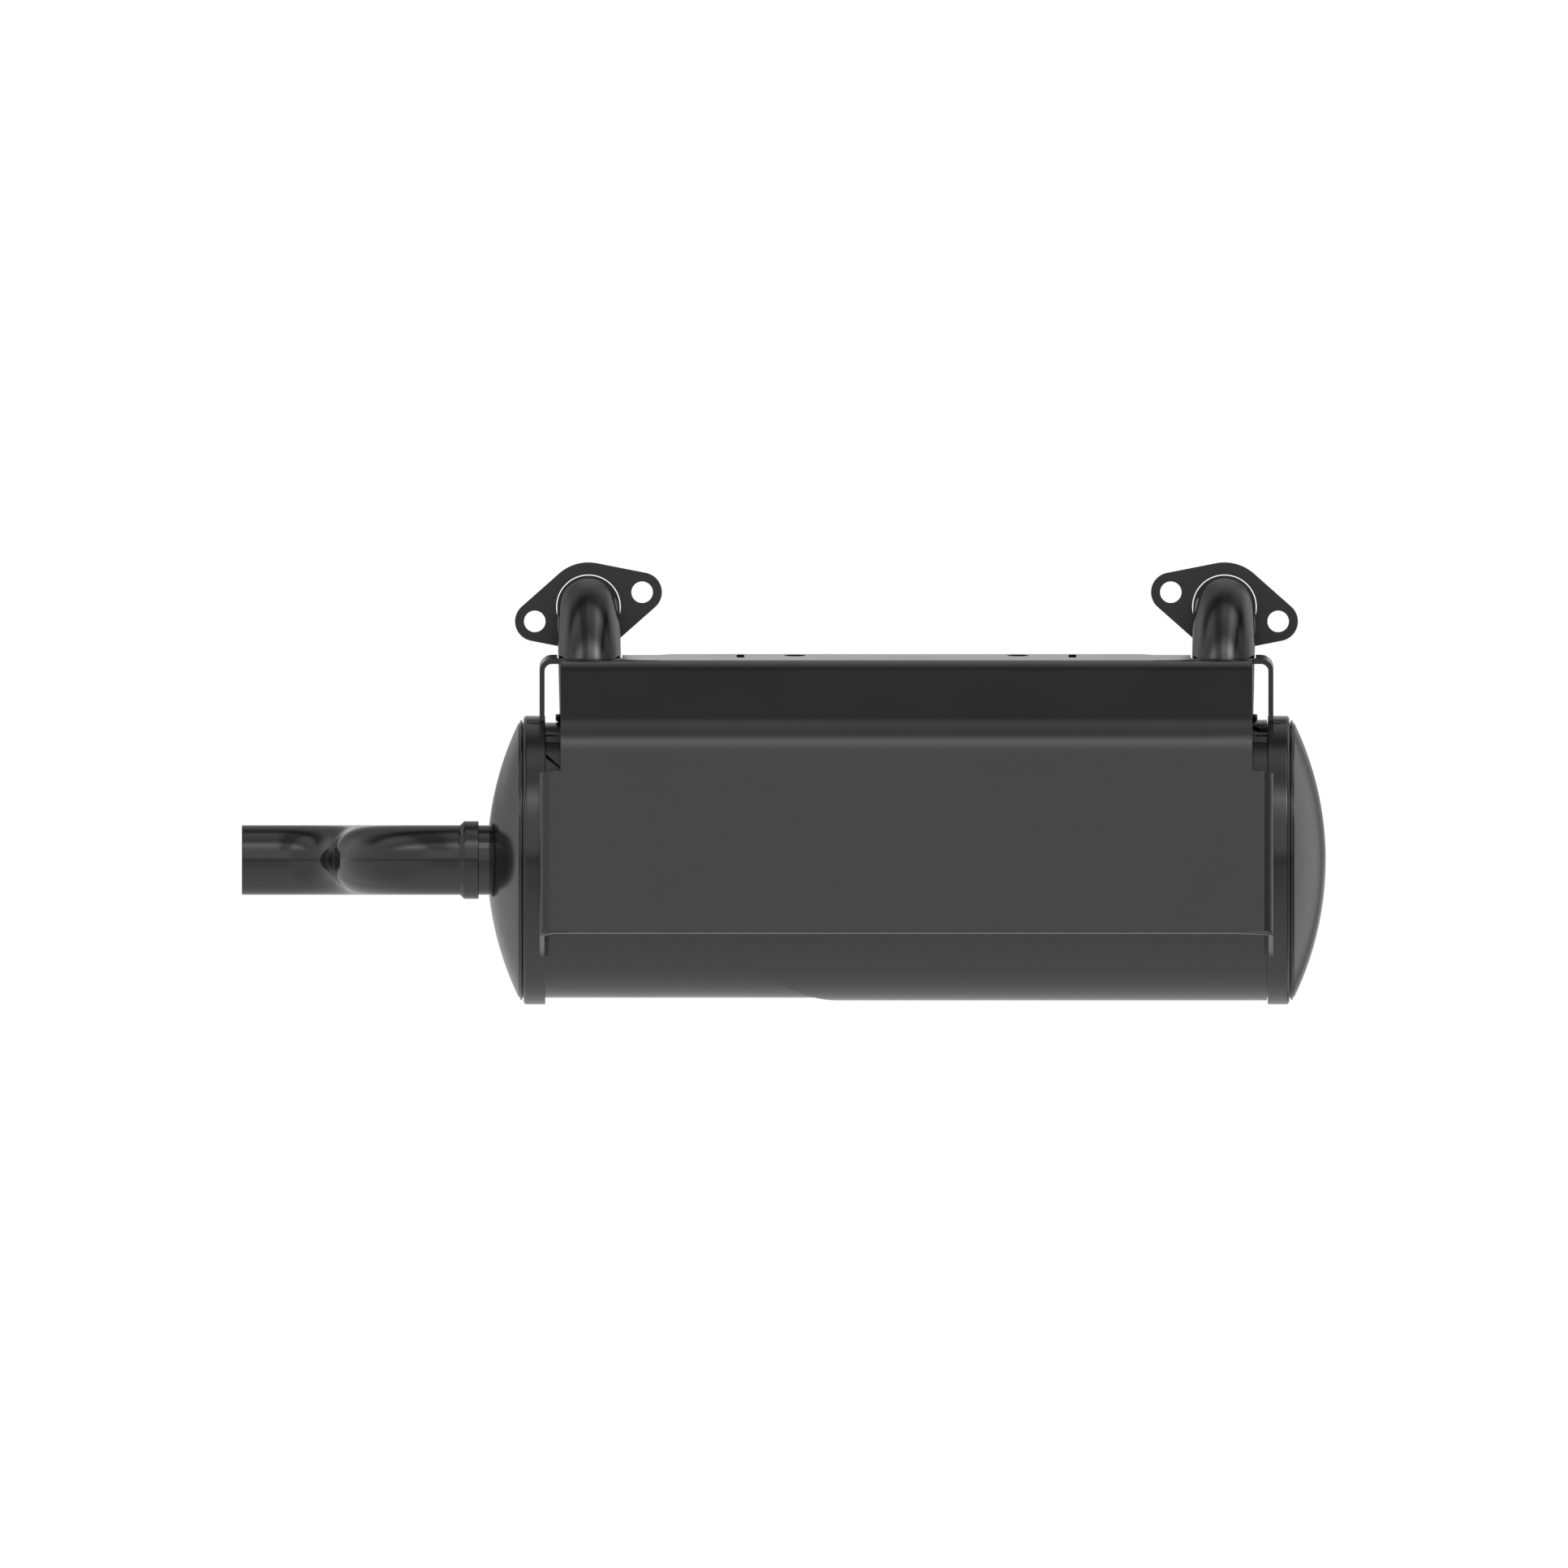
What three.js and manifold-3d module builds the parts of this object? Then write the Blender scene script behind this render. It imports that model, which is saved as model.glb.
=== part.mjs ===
// Twin-inlet exhaust muffler for a small V-twin engine, with its bracket shield, loose flanges
// and bent tailpipe. Millimetres, +X to the closed end, +Y to the engine, +Z up.
// Everything is modelled about the shell's own axis and then moved so that the bracket's
// mounting face is at the origin.
import * as THREE from 'three';
import { mergeVertices } from 'three/addons/utils/BufferGeometryUtils.js';
import Module from 'manifold-3d';

const wasm = await Module();
wasm.setup();

// ---- driving dimensions -------------------------------------------------------------------
const gap = 0.3;                    // working gap between pieces that touch or are welded
const through = 15;                 // how far a cutting tool reaches past what it cuts
const overlap = 0.02;               // how deep two solids sink into each other where they join

const shell = { radius: 62.84, wall: 1.3, halfLength: 174.0, facets: 80 };
const rim = { radius: shell.radius + 3.06, halfSpan: shell.halfLength - 9.1, width: 9.9, corner: 2.0 };
const dome = { height: 14.3, wall: 1.6, baseRadius: shell.radius - 0.34, standoff: 2.3 };
const bead = { width: 1.3, rise: 0.7, groove: 0.6, grooveRise: 0.2 };  // rolled where dome meets rim
const seam = { angle: 60.3, width: 6.3, rise: 1.15, root: 0.9 };
const wrap = { wall: 0.96, startAngle: 48.8, endAngle: -293.6, lastAngle: -290, facetAngle: 3.75 };

const inlet = { x: shell.halfLength - 29.8, radius: 14.3, wall: 1.65, bend: 44.5,
  bendStart: shell.radius + 8.26, lean: 1.25, innerEnd: shell.radius - 28.84, run: 13 };
const collar = { radius: inlet.radius + 1.9, neck: inlet.radius + 1.1, chamfer: 0.8, foot: shell.radius - 12.84,
  base: shell.radius + 1.26, top: shell.radius + 4.16 };
const flange = { bore: inlet.radius + 0.56, hub: inlet.radius + 6.0, lobe: 9.04, spacing: 50.8,
  hole: 4.9, thickness: 6.0, front: inlet.bend + 3.1, tilt: 15.2 };
const pip = { width: 2.4, rise: 1.2, length: 1.6, root: 0.8, play: 0.4, angles: [-40, -140] };

const domeApex = rim.halfSpan + rim.width + dome.standoff + dome.height;
const outlet = { radius: 15.88, wall: 1.65, tip: domeApex + 9.2, innerEnd: -2,
  piercedFrom: -62, piercedTo: -19 };
const tail = { bell: outlet.radius + outlet.wall + 0.24, mouth: domeApex + 3.9,
  shoulder: domeApex + 10.3, taper: domeApex + 12.6, lead: 4.5, bend: 40.6,
  run: 16.0, mouthCut: 4 };

const sheet = 2.3;
const shield = {
  topAngle: 85.5, slopeAngle: 52.2, lowerAngle: 14,              // outward normals, from level
  topStandoff: 27.2, slopeStandoff: 25.9, lowerStandoff: 20.6,   // faces beyond the rim
  topBend: 23.3, lowerBend: 27.7, sideBend: 5.6,
  halfWidth: rim.halfSpan + 2.6, neckHalfWidth: rim.halfSpan - 7.0,
  backEdge: 8.1, pipeBackEdge: 3.1, hookBackEdge: 4.8, hookFrontEdge: -20.8, hookDepth: 34,
  backWave: [106, 108.5, 112.5, 115], waveRound: 0.6,            // where the back edge steps, in X
  spare: 4,                                                      // sheet left on until the back edge is cut
  lowerLength: 94.3, wideFrom: 18.2, flangeDepth: 50.4,
};
const cutout = { clearance: 0.5, offset: 0.4, frontEdge: -17.5, corner: 3 };
const bracketHole = { x: 50.9, radius: 4.95, y: 0.1 };
const bracketSlot = { x: 75.8, width: 3.5, length: 17, y: -3.5 };

const baffle = { x: shell.halfLength - 62, centreX: 10, wall: 1.5, lip: 9, hole: 5, holes: 10,
  ring: (shell.radius * 2) / 3 };
const transfer = { radius: 11, wall: 1.3, offset: 36, halfLength: 24, flare: 2.2, flareLength: 3 };
const perforation = { radius: 2.6, around: 6, pitch: 14, facets: 8 };
const screen = { mouth: -domeApex + 1.4, length: 44, wall: 0.8, radius: outlet.radius - outlet.wall - 2.4,
  piercedFrom: 6, piercedTo: 39 };
const clip = { inset: 0.5, width: 4, split: 2 };

// ---- small helpers ------------------------------------------------------------------------
const rad = THREE.MathUtils.degToRad;
const sides = [['left', -1], ['right', 1]];

function signedVolume(geometry) {
  const p = geometry.getAttribute('position');
  const index = geometry.getIndex();
  const [a, b, c] = [new THREE.Vector3(), new THREE.Vector3(), new THREE.Vector3()];
  let sum = 0;
  for (let i = 0; i < index.count; i += 3) {
    a.fromBufferAttribute(p, index.getX(i));
    b.fromBufferAttribute(p, index.getX(i + 1));
    c.fromBufferAttribute(p, index.getX(i + 2));
    sum += a.dot(b.cross(c)) / 6;
  }
  return sum;
}

// A three.js geometry as a manifold solid whose faces point outward.
function solid(source) {
  const bare = source.clone();
  bare.deleteAttribute('normal');
  bare.deleteAttribute('uv');
  const geometry = mergeVertices(bare, 1e-5);
  const triangles = Uint32Array.from(geometry.getIndex().array);
  if (signedVolume(geometry) < 0) {
    for (let i = 0; i < triangles.length; i += 3) {
      [triangles[i], triangles[i + 1]] = [triangles[i + 1], triangles[i]];
    }
  }
  const vertices = Float32Array.from(geometry.getAttribute('position').array);
  const mesh = new wasm.Mesh({ numProp: 3, vertProperties: vertices, triVerts: triangles });
  mesh.merge();
  return new wasm.Manifold(mesh);
}

function toGeometry(body) {
  const mesh = body.getMesh();
  const geometry = new THREE.BufferGeometry();
  const positions = new Float32Array(mesh.numVert * 3);
  for (let i = 0; i < mesh.numVert; i += 1) {
    positions.set(mesh.vertProperties.subarray(i * mesh.numProp, i * mesh.numProp + 3), i * 3);
  }
  geometry.setAttribute('position', new THREE.BufferAttribute(positions, 3));
  geometry.setIndex(new THREE.BufferAttribute(Uint32Array.from(mesh.triVerts), 1));
  geometry.computeVertexNormals();
  return geometry;
}

const add = (...bodies) => bodies.reduce((sum, body) => sum.add(body));
const cut = (body, ...tools) => tools.reduce((rest, tool) => rest.subtract(tool), body);

// A ring or disc turned about the X axis; the profile is [x, radius] pairs.
function turned(profile, facets = 48) {
  const points = profile.map(([x, r]) => new THREE.Vector2(r, x));
  return solid(new THREE.LatheGeometry(points, facets).rotateZ(-Math.PI / 2));
}

const tubeProfile = (x0, x1, outer, inner) =>
  [[x0, inner], [x1, inner], [x1, outer], [x0, outer], [x0, inner]];

function rodX(radius, x0, x1, facets) {
  const rod = new THREE.CylinderGeometry(radius, radius, x1 - x0, facets).rotateZ(-Math.PI / 2);
  return solid(rod.translate((x0 + x1) / 2, 0, 0));
}

function rodZ(radius, x, y, z0, z1) {
  const rod = new THREE.CylinderGeometry(radius, radius, z1 - z0, 32).rotateX(Math.PI / 2);
  return solid(rod.translate(x, y, (z0 + z1) / 2));
}

function box(x0, x1, y0, y1, z0, z1) {
  const block = new THREE.BoxGeometry(x1 - x0, y1 - y0, z1 - z0);
  return solid(block.translate((x0 + x1) / 2, (y0 + y1) / 2, (z0 + z1) / 2));
}

function prism(points, depth) {
  const shape = new THREE.Shape(points.map(([x, y]) => new THREE.Vector2(x, y)));
  return new THREE.ExtrudeGeometry(shape, { depth, bevelEnabled: false, curveSegments: 8 });
}

// Points of an arc in a plane, from one angle to another, in degrees.
function arcPoints(cx, cy, radius, from, to, steps) {
  return Array.from({ length: steps + 1 }, (_, i) => {
    const angle = rad(from + ((to - from) * i) / steps);
    return [cx + radius * Math.cos(angle), cy + radius * Math.sin(angle)];
  });
}

// A tube swept along a run of straights and bends, given as evenly walked points.
function sweptTube(points, outer, inner, steps, facets = 20) {
  const path = new THREE.CatmullRomCurve3(points, false, 'centripetal');
  path.arcLengthDivisions = 800;
  const ring = new THREE.Shape(arcPoints(0, 0, outer, 0, 360 - 360 / facets, facets - 1)
    .map(([x, y]) => new THREE.Vector2(x, y)));
  if (inner > 0) {
    ring.holes.push(new THREE.Path(arcPoints(0, 0, inner, 0, 360 - 360 / facets, facets - 1)
      .map(([x, y]) => new THREE.Vector2(x, y))));
  }
  return solid(new THREE.ExtrudeGeometry(ring, { steps, extrudePath: path, bevelEnabled: false }));
}

// ---- shell, wrap and end caps ---------------------------------------------------------------
const rimOuter = rim.halfSpan + rim.width;
const domeBaseX = rimOuter + dome.standoff;
const domeRadius = (dome.baseRadius ** 2 + dome.height ** 2) / (2 * dome.height);
const domeCentre = domeBaseX + dome.height - domeRadius;
const wrapInner = shell.radius + gap;
const wrapOuter = wrapInner + wrap.wall;
const seamHalfAngle = THREE.MathUtils.radToDeg(seam.width / 2 / (shell.radius + seam.rise));

function shellBody() {
  const { radius, wall, halfLength, facets } = shell;
  const tube = turned(tubeProfile(-halfLength, halfLength, radius, radius - wall), facets);
  const span = 2 * (rim.halfSpan - gap);
  const strip = new THREE.BoxGeometry(span, seam.width, seam.rise + seam.root);
  strip.translate(0, 0, radius + (seam.rise - seam.root) / 2);
  strip.rotateX(rad(90 - seam.angle));
  const holes = sides.map(([, s]) => inletRod(s, inlet.radius + gap, shell.radius));
  return cut(tube.add(solid(strip)), ...holes);
}

// The shell sheet's second turn: a long tongue whose free edge climbs once around the shell.
function wrapBody() {
  const first = seam.angle - seamHalfAngle - gap;
  const turns = Math.ceil((first - wrap.lastAngle) / wrap.facetAngle);
  const end = rim.halfSpan - gap;
  const degreesPerMm = (wrap.startAngle - wrap.endAngle) / (2 * end);
  const band = new THREE.BoxGeometry(1, 1, 1, 1, turns, 1);
  const p = band.getAttribute('position');
  for (let i = 0; i < p.count; i += 1) {
    const angle = wrap.lastAngle + (p.getY(i) + 0.5) * (first - wrap.lastAngle);
    const startX = Math.max(-end, -end + (wrap.startAngle - angle) / degreesPerMm);
    const radius = p.getZ(i) > 0 ? wrapOuter : wrapInner;
    const x = p.getX(i) > 0 ? end : startX;
    p.setXYZ(i, x, -radius * Math.cos(rad(angle)), radius * Math.sin(rad(angle)));
  }
  return cut(solid(band), inletRod(1, collar.radius + gap, wrapOuter));
}

function capProfile(hole) {
  const inside = domeRadius - dome.wall;
  const onSphere = (radius, r) => [domeCentre + Math.sqrt(radius ** 2 - r ** 2), r];
  const steps = [0, 0.5, 1];
  const innerRim = shell.radius - shell.wall - 2 * gap;
  const innerDome = steps.map((k) => onSphere(inside, innerRim + (hole - innerRim) * k));
  const outerDome = steps.map((k) => onSphere(domeRadius, hole + (dome.baseRadius - hole) * k));
  return [
    ...innerDome, ...outerDome,
    [rimOuter + bead.width, dome.baseRadius + bead.rise],
    [rimOuter + bead.groove, dome.baseRadius + bead.grooveRise],
    ...arcPoints(rimOuter - rim.corner, rim.radius - rim.corner, rim.corner, 0, 90, 3),
    [rim.halfSpan, rim.radius], [rim.halfSpan, wrapInner],
    [shell.halfLength + gap, wrapInner], [shell.halfLength + gap, innerRim],
    innerDome[0],
  ];
}

function capBody(side) {
  const hole = side < 0 ? outlet.radius + gap : 0;
  const cap = capProfile(hole).map(([x, r]) => [side * x, r]);
  return turned(cap);
}

// ---- inlet pipes, collars and flanges --------------------------------------------------------
// Leans a piece outward about the foot of its inlet pipe.
function leaned(body, side) {
  const foot = [side * inlet.x, 0, inlet.bendStart];
  return body.translate(foot.map((v) => -v)).rotate([0, side * inlet.lean, 0]).translate(foot);
}

function inletRod(side, radius, top) {
  return leaned(rodZ(radius, side * inlet.x, 0, inlet.innerEnd - through, top + through), side);
}

const inletCentre = (side) =>
  side * (inlet.x + inlet.bend * Math.sin(rad(inlet.lean)));
const flangeHeight = inlet.bendStart + inlet.bend * Math.cos(rad(inlet.lean));

function inletPath() {
  const { innerEnd, bendStart, bend, run } = inlet;
  const at = (y, z) => new THREE.Vector3(0, y, z);
  const straight = [0, 1 / 3, 2 / 3].map((k) => at(0, innerEnd + (bendStart - innerEnd) * k));
  const curve = arcPoints(bend, bendStart, bend, 180, 90, 12).map(([y, z]) => at(y, z));
  return [...straight, ...curve, at(bend + run / 2, bendStart + bend), at(bend + run, bendStart + bend)];
}

function inletPipe(side) {
  const pipe = sweptTube(inletPath(), inlet.radius, inlet.radius - inlet.wall, 12)
    .translate([side * inlet.x, 0, 0]);
  const behind = flange.front + flange.thickness + pip.play;
  const stops = pip.angles.map((angle) => {
    const stop = new THREE.BoxGeometry(pip.rise + pip.root, pip.length, pip.width);
    stop.translate(inlet.radius + (pip.rise - pip.root) / 2, behind + pip.length / 2, 0);
    stop.rotateY(rad(-angle)).translate(side * inlet.x, 0, inlet.bendStart + inlet.bend);
    return solid(stop);
  });
  return leaned(add(pipe, ...stops), side);
}

function inletCollar(side) {
  const { radius, neck, chamfer, foot, base, top } = collar;
  const bore = inlet.radius + gap;
  const profile = [
    [foot, bore], [top, bore], [top, radius - chamfer], [top - chamfer, radius], [base, radius],
    [base - chamfer, neck], [foot, neck], [foot, bore],
  ];
  const ring = solid(new THREE.LatheGeometry(
    profile.map(([z, r]) => new THREE.Vector2(r, z)), 24).rotateX(Math.PI / 2));
  return cut(leaned(ring.translate([side * inlet.x, 0, 0]), side),
    rodX(shell.radius + gap, -rimOuter, rimOuter, 96));
}

// Outline tangent to the hub circle and the two lobes, drawn for one half and mirrored.
function flangeOutline() {
  const half = flange.spacing / 2;
  const lean = Math.acos((flange.hub - flange.lobe) / half) * (180 / Math.PI);
  const right = arcPoints(half, 0, flange.lobe, -lean, lean, 9);
  const top = arcPoints(0, 0, flange.hub, lean, 180 - lean, 7);
  const left = arcPoints(-half, 0, flange.lobe, 180 - lean, 180 + lean, 9);
  const bottom = arcPoints(0, 0, flange.hub, 180 + lean, 360 - lean, 7);
  return [...right, ...top, ...left, ...bottom];
}

function inletFlange(side) {
  const shape = new THREE.Shape(flangeOutline().map(([x, y]) => new THREE.Vector2(x, y)));
  const circles = [[0, flange.bore, 36], [flange.spacing / 2, flange.hole, 20],
    [-flange.spacing / 2, flange.hole, 20]];
  for (const [x, radius, facets] of circles) {
    const ring = arcPoints(x, 0, radius, 0, 360 - 360 / facets, facets - 1);
    shape.holes.push(new THREE.Path(ring.map(([u, v]) => new THREE.Vector2(u, v))));
  }
  const plate = new THREE.ExtrudeGeometry(shape, { depth: flange.thickness, bevelEnabled: false });
  plate.rotateZ(rad(-side * flange.tilt)).rotateX(Math.PI / 2);
  plate.translate(inletCentre(side), flange.front + flange.thickness, flangeHeight);
  return solid(plate);
}

// ---- outlet tube and tailpipe ------------------------------------------------------------------
// Rows of round holes through a tube that lies on the X axis.
function perforations(x0, x1) {
  const length = 2 * outlet.radius + through;
  const rows = Math.floor((x1 - x0) / perforation.pitch);
  const tools = [];
  for (let row = 0; row <= rows; row += 1) {
    for (let k = 0; k < perforation.around / 2; k += 1) {
      const turn = (k * 360) / perforation.around + (row % 2) * (180 / perforation.around);
      const { radius, facets } = perforation;
      const hole = new THREE.CylinderGeometry(radius, radius, length, facets);
      hole.rotateX(rad(turn)).translate(x0 + row * perforation.pitch, 0, 0);
      tools.push(solid(hole));
    }
  }
  return tools;
}

function outletTube() {
  const inner = outlet.radius - outlet.wall;
  const tube = turned(tubeProfile(-outlet.tip, outlet.innerEnd, outlet.radius, inner), 36);
  return cut(tube, ...perforations(outlet.piercedFrom, outlet.piercedTo));
}

function tailRoute() {
  const start = -tail.shoulder - tail.lead;
  const turnX = start - tail.bend;
  const at = (x, y) => new THREE.Vector3(x, y, 0);
  const first = arcPoints(start, tail.bend, tail.bend, 270, 180, 10);
  const second = arcPoints(turnX - tail.bend, tail.bend, tail.bend, 0, 90, 10);
  const bends = [...first, ...second.slice(1)].map(([x, y]) => at(x, y));
  const last = turnX - tail.bend;
  return [at(-tail.shoulder + overlap, 0), ...bends,
    at(last - tail.run / 2, 2 * tail.bend), at(last - tail.run, 2 * tail.bend)];
}

function tailpipe() {
  const tailSteps = 20;
  const inner = outlet.radius - outlet.wall;
  const bore = tail.bell - outlet.wall;
  const run = sweptTube(tailRoute(), outlet.radius, 0, tailSteps);
  const hollow = sweptTube(tailRoute(), inner, 0, tailSteps);
  const bell = turned([[-tail.taper, 0], [-tail.mouth, 0], [-tail.mouth, tail.bell],
    [-tail.shoulder, tail.bell], [-tail.taper, outlet.radius], [-tail.taper, 0]], 36);
  const socket = turned([[-tail.taper, 0], [-tail.mouth + gap, 0], [-tail.mouth + gap, bore],
    [-tail.shoulder, bore], [-tail.taper, inner], [-tail.taper, 0]], 36);
  const end = -tail.shoulder - tail.lead - 2 * tail.bend - tail.run;
  const mouth = rodX(inner, end - tail.mouthCut, end + tail.mouthCut, 20).translate([0, 2 * tail.bend, 0]);
  return cut(run.add(bell), hollow, socket, mouth);
}

// ---- bracket shield ----------------------------------------------------------------------------
const normalOf = (angle) => [-Math.cos(rad(angle)), Math.sin(rad(angle))];
const alongOf = (angle) => [-Math.sin(rad(angle)), -Math.cos(rad(angle))];

// Where two faces of the shield, given by normal angle and distance from the axis, would meet.
function corner(angleA, distanceA, angleB, distanceB) {
  const [ay, az] = normalOf(angleA);
  const [by, bz] = normalOf(angleB);
  const det = ay * bz - az * by;
  return [(distanceA * bz - distanceB * az) / det, (ay * distanceB - by * distanceA) / det];
}

const topFace = rim.radius + shield.topStandoff;
const slopeFace = rim.radius + shield.slopeStandoff;
const lowerFace = rim.radius + shield.lowerStandoff;
const upperCorner = corner(shield.topAngle, topFace, shield.slopeAngle, slopeFace);
const lowerCorner = corner(shield.slopeAngle, slopeFace, shield.lowerAngle, lowerFace);
const topHeightAt = (y) =>
  (topFace - y * normalOf(shield.topAngle)[0]) / normalOf(shield.topAngle)[1];

const untrimmedEdge = shield.backEdge + shield.spare;

// Outer and inner lines of a rounded fold between two faces.
function fold([y, z], angleA, angleB, radius, offset) {
  const half = rad((angleA - angleB) / 2);
  const [ny, nz] = normalOf((angleA + angleB) / 2);
  const reach = radius / Math.cos(half);
  const [cy, cz] = [y - ny * reach, z - nz * reach];
  return arcPoints(cy, cz, radius - offset, 180 - angleA, 180 - angleB, 8);
}

function shieldProfile() {
  const side = (offset) => {
    const [ty, tz] = normalOf(shield.topAngle);
    const [ly, lz] = normalOf(shield.lowerAngle);
    const [dy, dz] = alongOf(shield.lowerAngle);
    const start = [untrimmedEdge - ty * offset, topHeightAt(untrimmedEdge) - tz * offset];
    const finish = [lowerCorner[0] + dy * shield.lowerLength - ly * offset,
      lowerCorner[1] + dz * shield.lowerLength - lz * offset];
    return [
      start,
      ...fold(upperCorner, shield.topAngle, shield.slopeAngle, shield.topBend, offset),
      ...fold(lowerCorner, shield.slopeAngle, shield.lowerAngle, shield.lowerBend, offset),
      finish,
    ];
  };
  return [...side(0), ...side(sheet).reverse()];
}

// A flat-bottomed channel: width across u, two legs of the given depth, rounded outer bends.
function channel(halfWidth, depth, radius) {
  const outer = [[-halfWidth, -depth],
    ...arcPoints(-halfWidth + radius, -radius, radius, 180, 90, 6),
    ...arcPoints(halfWidth - radius, -radius, radius, 90, 0, 6), [halfWidth, -depth]];
  const w = halfWidth - sheet;
  const r = radius - sheet;
  const inner = [[w, -depth], ...arcPoints(w - r, -sheet - r, r, 0, 90, 6),
    ...arcPoints(-w + r, -sheet - r, r, 90, 180, 6), [-w, -depth]];
  return [...outer, ...inner];
}

// Stands a prism on one of the shield's faces: its depth runs down the face from a point.
function onFace(geometry, angle, [y, z]) {
  const [ny, nz] = normalOf(angle);
  const [dy, dz] = alongOf(angle);
  const basis = new THREE.Matrix4().makeBasis(new THREE.Vector3(1, 0, 0),
    new THREE.Vector3(0, ny, nz), new THREE.Vector3(0, dy, dz));
  return solid(geometry.applyMatrix4(basis).translate(0, y, z));
}

function backEdgeTrim() {
  const out = shield.halfWidth + through;
  const far = untrimmedEdge + through;
  const { backEdge, pipeBackEdge, backWave, waveRound } = shield;
  const heights = [backEdge, backEdge - waveRound, pipeBackEdge + waveRound, pipeBackEdge];
  const curve = (s) => backWave.map((x, i) => [s * x, heights[i]]);
  const hookX = inlet.x + inlet.radius + cutout.clearance;
  const outline = [
    [-out, far], [-out, shield.hookBackEdge], [-hookX, shield.hookBackEdge],
    [-hookX, shield.pipeBackEdge], ...curve(-1).reverse(), ...curve(1),
    [hookX, shield.pipeBackEdge], [hookX, shield.hookBackEdge], [out, shield.hookBackEdge],
    [out, far],
  ];
  return solid(prism(outline, shield.hookDepth + through).translate(0, 0, topFace - shield.hookDepth));
}

function pipeCutout(side) {
  const half = inlet.radius + cutout.clearance;
  const [f, r] = [cutout.frontEdge, cutout.corner];
  const outline = [
    [-half, through], ...arcPoints(-half + r, f + r, r, 180, 270, 5),
    ...arcPoints(half - r, f + r, r, 270, 360, 5), [half, through],
  ];
  const x = side * (inlet.x + cutout.offset);
  return solid(prism(outline, 2 * through).translate(x, 0, topFace - through));
}

function shieldBody() {
  const main = solid(prism(shieldProfile(), 2 * shield.neckHalfWidth)
    .applyMatrix4(new THREE.Matrix4().makeBasis(new THREE.Vector3(0, 1, 0),
      new THREE.Vector3(0, 0, 1), new THREE.Vector3(1, 0, 0)))
    .translate(-shield.neckHalfWidth, 0, 0));
  const [dy, dz] = alongOf(shield.lowerAngle);
  const wideStart = [lowerCorner[0] + dy * shield.wideFrom, lowerCorner[1] + dz * shield.wideFrom];
  const lower = onFace(prism(channel(shield.halfWidth, shield.flangeDepth, shield.sideBend),
    shield.lowerLength - shield.wideFrom), shield.lowerAngle, wideStart);
  const hookRun = (untrimmedEdge - shield.hookFrontEdge) / Math.sin(rad(shield.topAngle));
  const hooks = onFace(prism(channel(shield.halfWidth, shield.hookDepth, shield.sideBend), hookRun),
    shield.topAngle, [untrimmedEdge, topHeightAt(untrimmedEdge)]);
  const holes = sides.map(([, s]) =>
    rodZ(bracketHole.radius, s * bracketHole.x, bracketHole.y, topFace - through, topFace + through));
  const slots = sides.map(([, s]) => box(s * bracketSlot.x - bracketSlot.width / 2,
    s * bracketSlot.x + bracketSlot.width / 2, bracketSlot.y - bracketSlot.length / 2,
    bracketSlot.y + bracketSlot.length / 2, topFace - through, topFace + through));
  return cut(add(main, lower, hooks), rodX(rim.radius + gap, -rimOuter, rimOuter, 120),
    backEdgeTrim(), ...sides.map(([, s]) => pipeCutout(s)), ...holes, ...slots);
}

// ---- inside the shell ----------------------------------------------------------------------------
const boreRadius = shell.radius - shell.wall - gap;

// A pressed disc with a lip, closed on the outlet tube where it passes and pierced elsewhere.
function baffleBody(x, centreHole, transferHoles) {
  const { wall, lip } = baffle;
  const disc = turned([[x, centreHole], [x, boreRadius], [x + lip, boreRadius],
    [x + lip, boreRadius - wall], [x + wall, boreRadius - 2 * wall], [x + wall, centreHole],
    [x, centreHole]]);
  const across = (y, z, radius, facets) =>
    rodX(radius, x - through, x + through, facets).translate([0, y, z]);
  const ring = Array.from({ length: baffle.holes }, (_, i) => {
    const turn = rad(((i + 0.5) * 360) / baffle.holes);
    return across(baffle.ring * Math.cos(turn), baffle.ring * Math.sin(turn), baffle.hole, 10);
  });
  const ports = [1, -1].map((s) => across(s * transfer.offset, 0, transfer.radius + gap, 32));
  return cut(disc, ...(transferHoles ? ports : ring));
}

function transferTube(side) {
  const { radius, wall, halfLength, flare, flareLength } = transfer;
  const profile = [
    [-halfLength, radius - wall], [halfLength - flareLength, radius - wall],
    [halfLength, radius - wall + flare], [halfLength, radius + flare],
    [halfLength - flareLength, radius], [-halfLength, radius], [-halfLength, radius - wall],
  ];
  return turned(profile, 24).translate([baffle.centreX, side * transfer.offset, 0]);
}

// Spark arrestor: a pierced tube closed at its inner end, held in the outlet by a split ring.
function screenBody() {
  const { mouth, length, wall, radius } = screen;
  const closed = mouth + length;
  const cup = turned([[mouth, radius - wall], [closed - wall, radius - wall], [closed - wall, 0],
    [closed, 0], [closed, radius], [mouth, radius], [mouth, radius - wall]], 28);
  return cut(cup, ...perforations(mouth + screen.piercedFrom, mouth + screen.piercedTo));
}

function screenRing() {
  const start = screen.mouth + clip.inset;
  const outer = outlet.radius - outlet.wall - gap;
  const ring = turned(tubeProfile(start, start + clip.width, outer, screen.radius + gap), 28);
  return cut(ring, box(start - gap, start + clip.width + gap, -clip.split / 2, clip.split / 2, 0, through));
}

// ---- assembly --------------------------------------------------------------------------------------
const paint = new THREE.MeshStandardMaterial({ color: 0x16171a, roughness: 0.35, metalness: 0.1 });
const bareSteel = new THREE.MeshStandardMaterial({ color: 0x6e6a66, roughness: 0.6, metalness: 0.8 });
const meshSteel = new THREE.MeshStandardMaterial({ color: 0x9a9a98, roughness: 0.5, metalness: 0.9 });

const mountHeight = topHeightAt(0);
const muffler = new THREE.Group();
muffler.name = 'exhaust_muffler';

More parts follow.
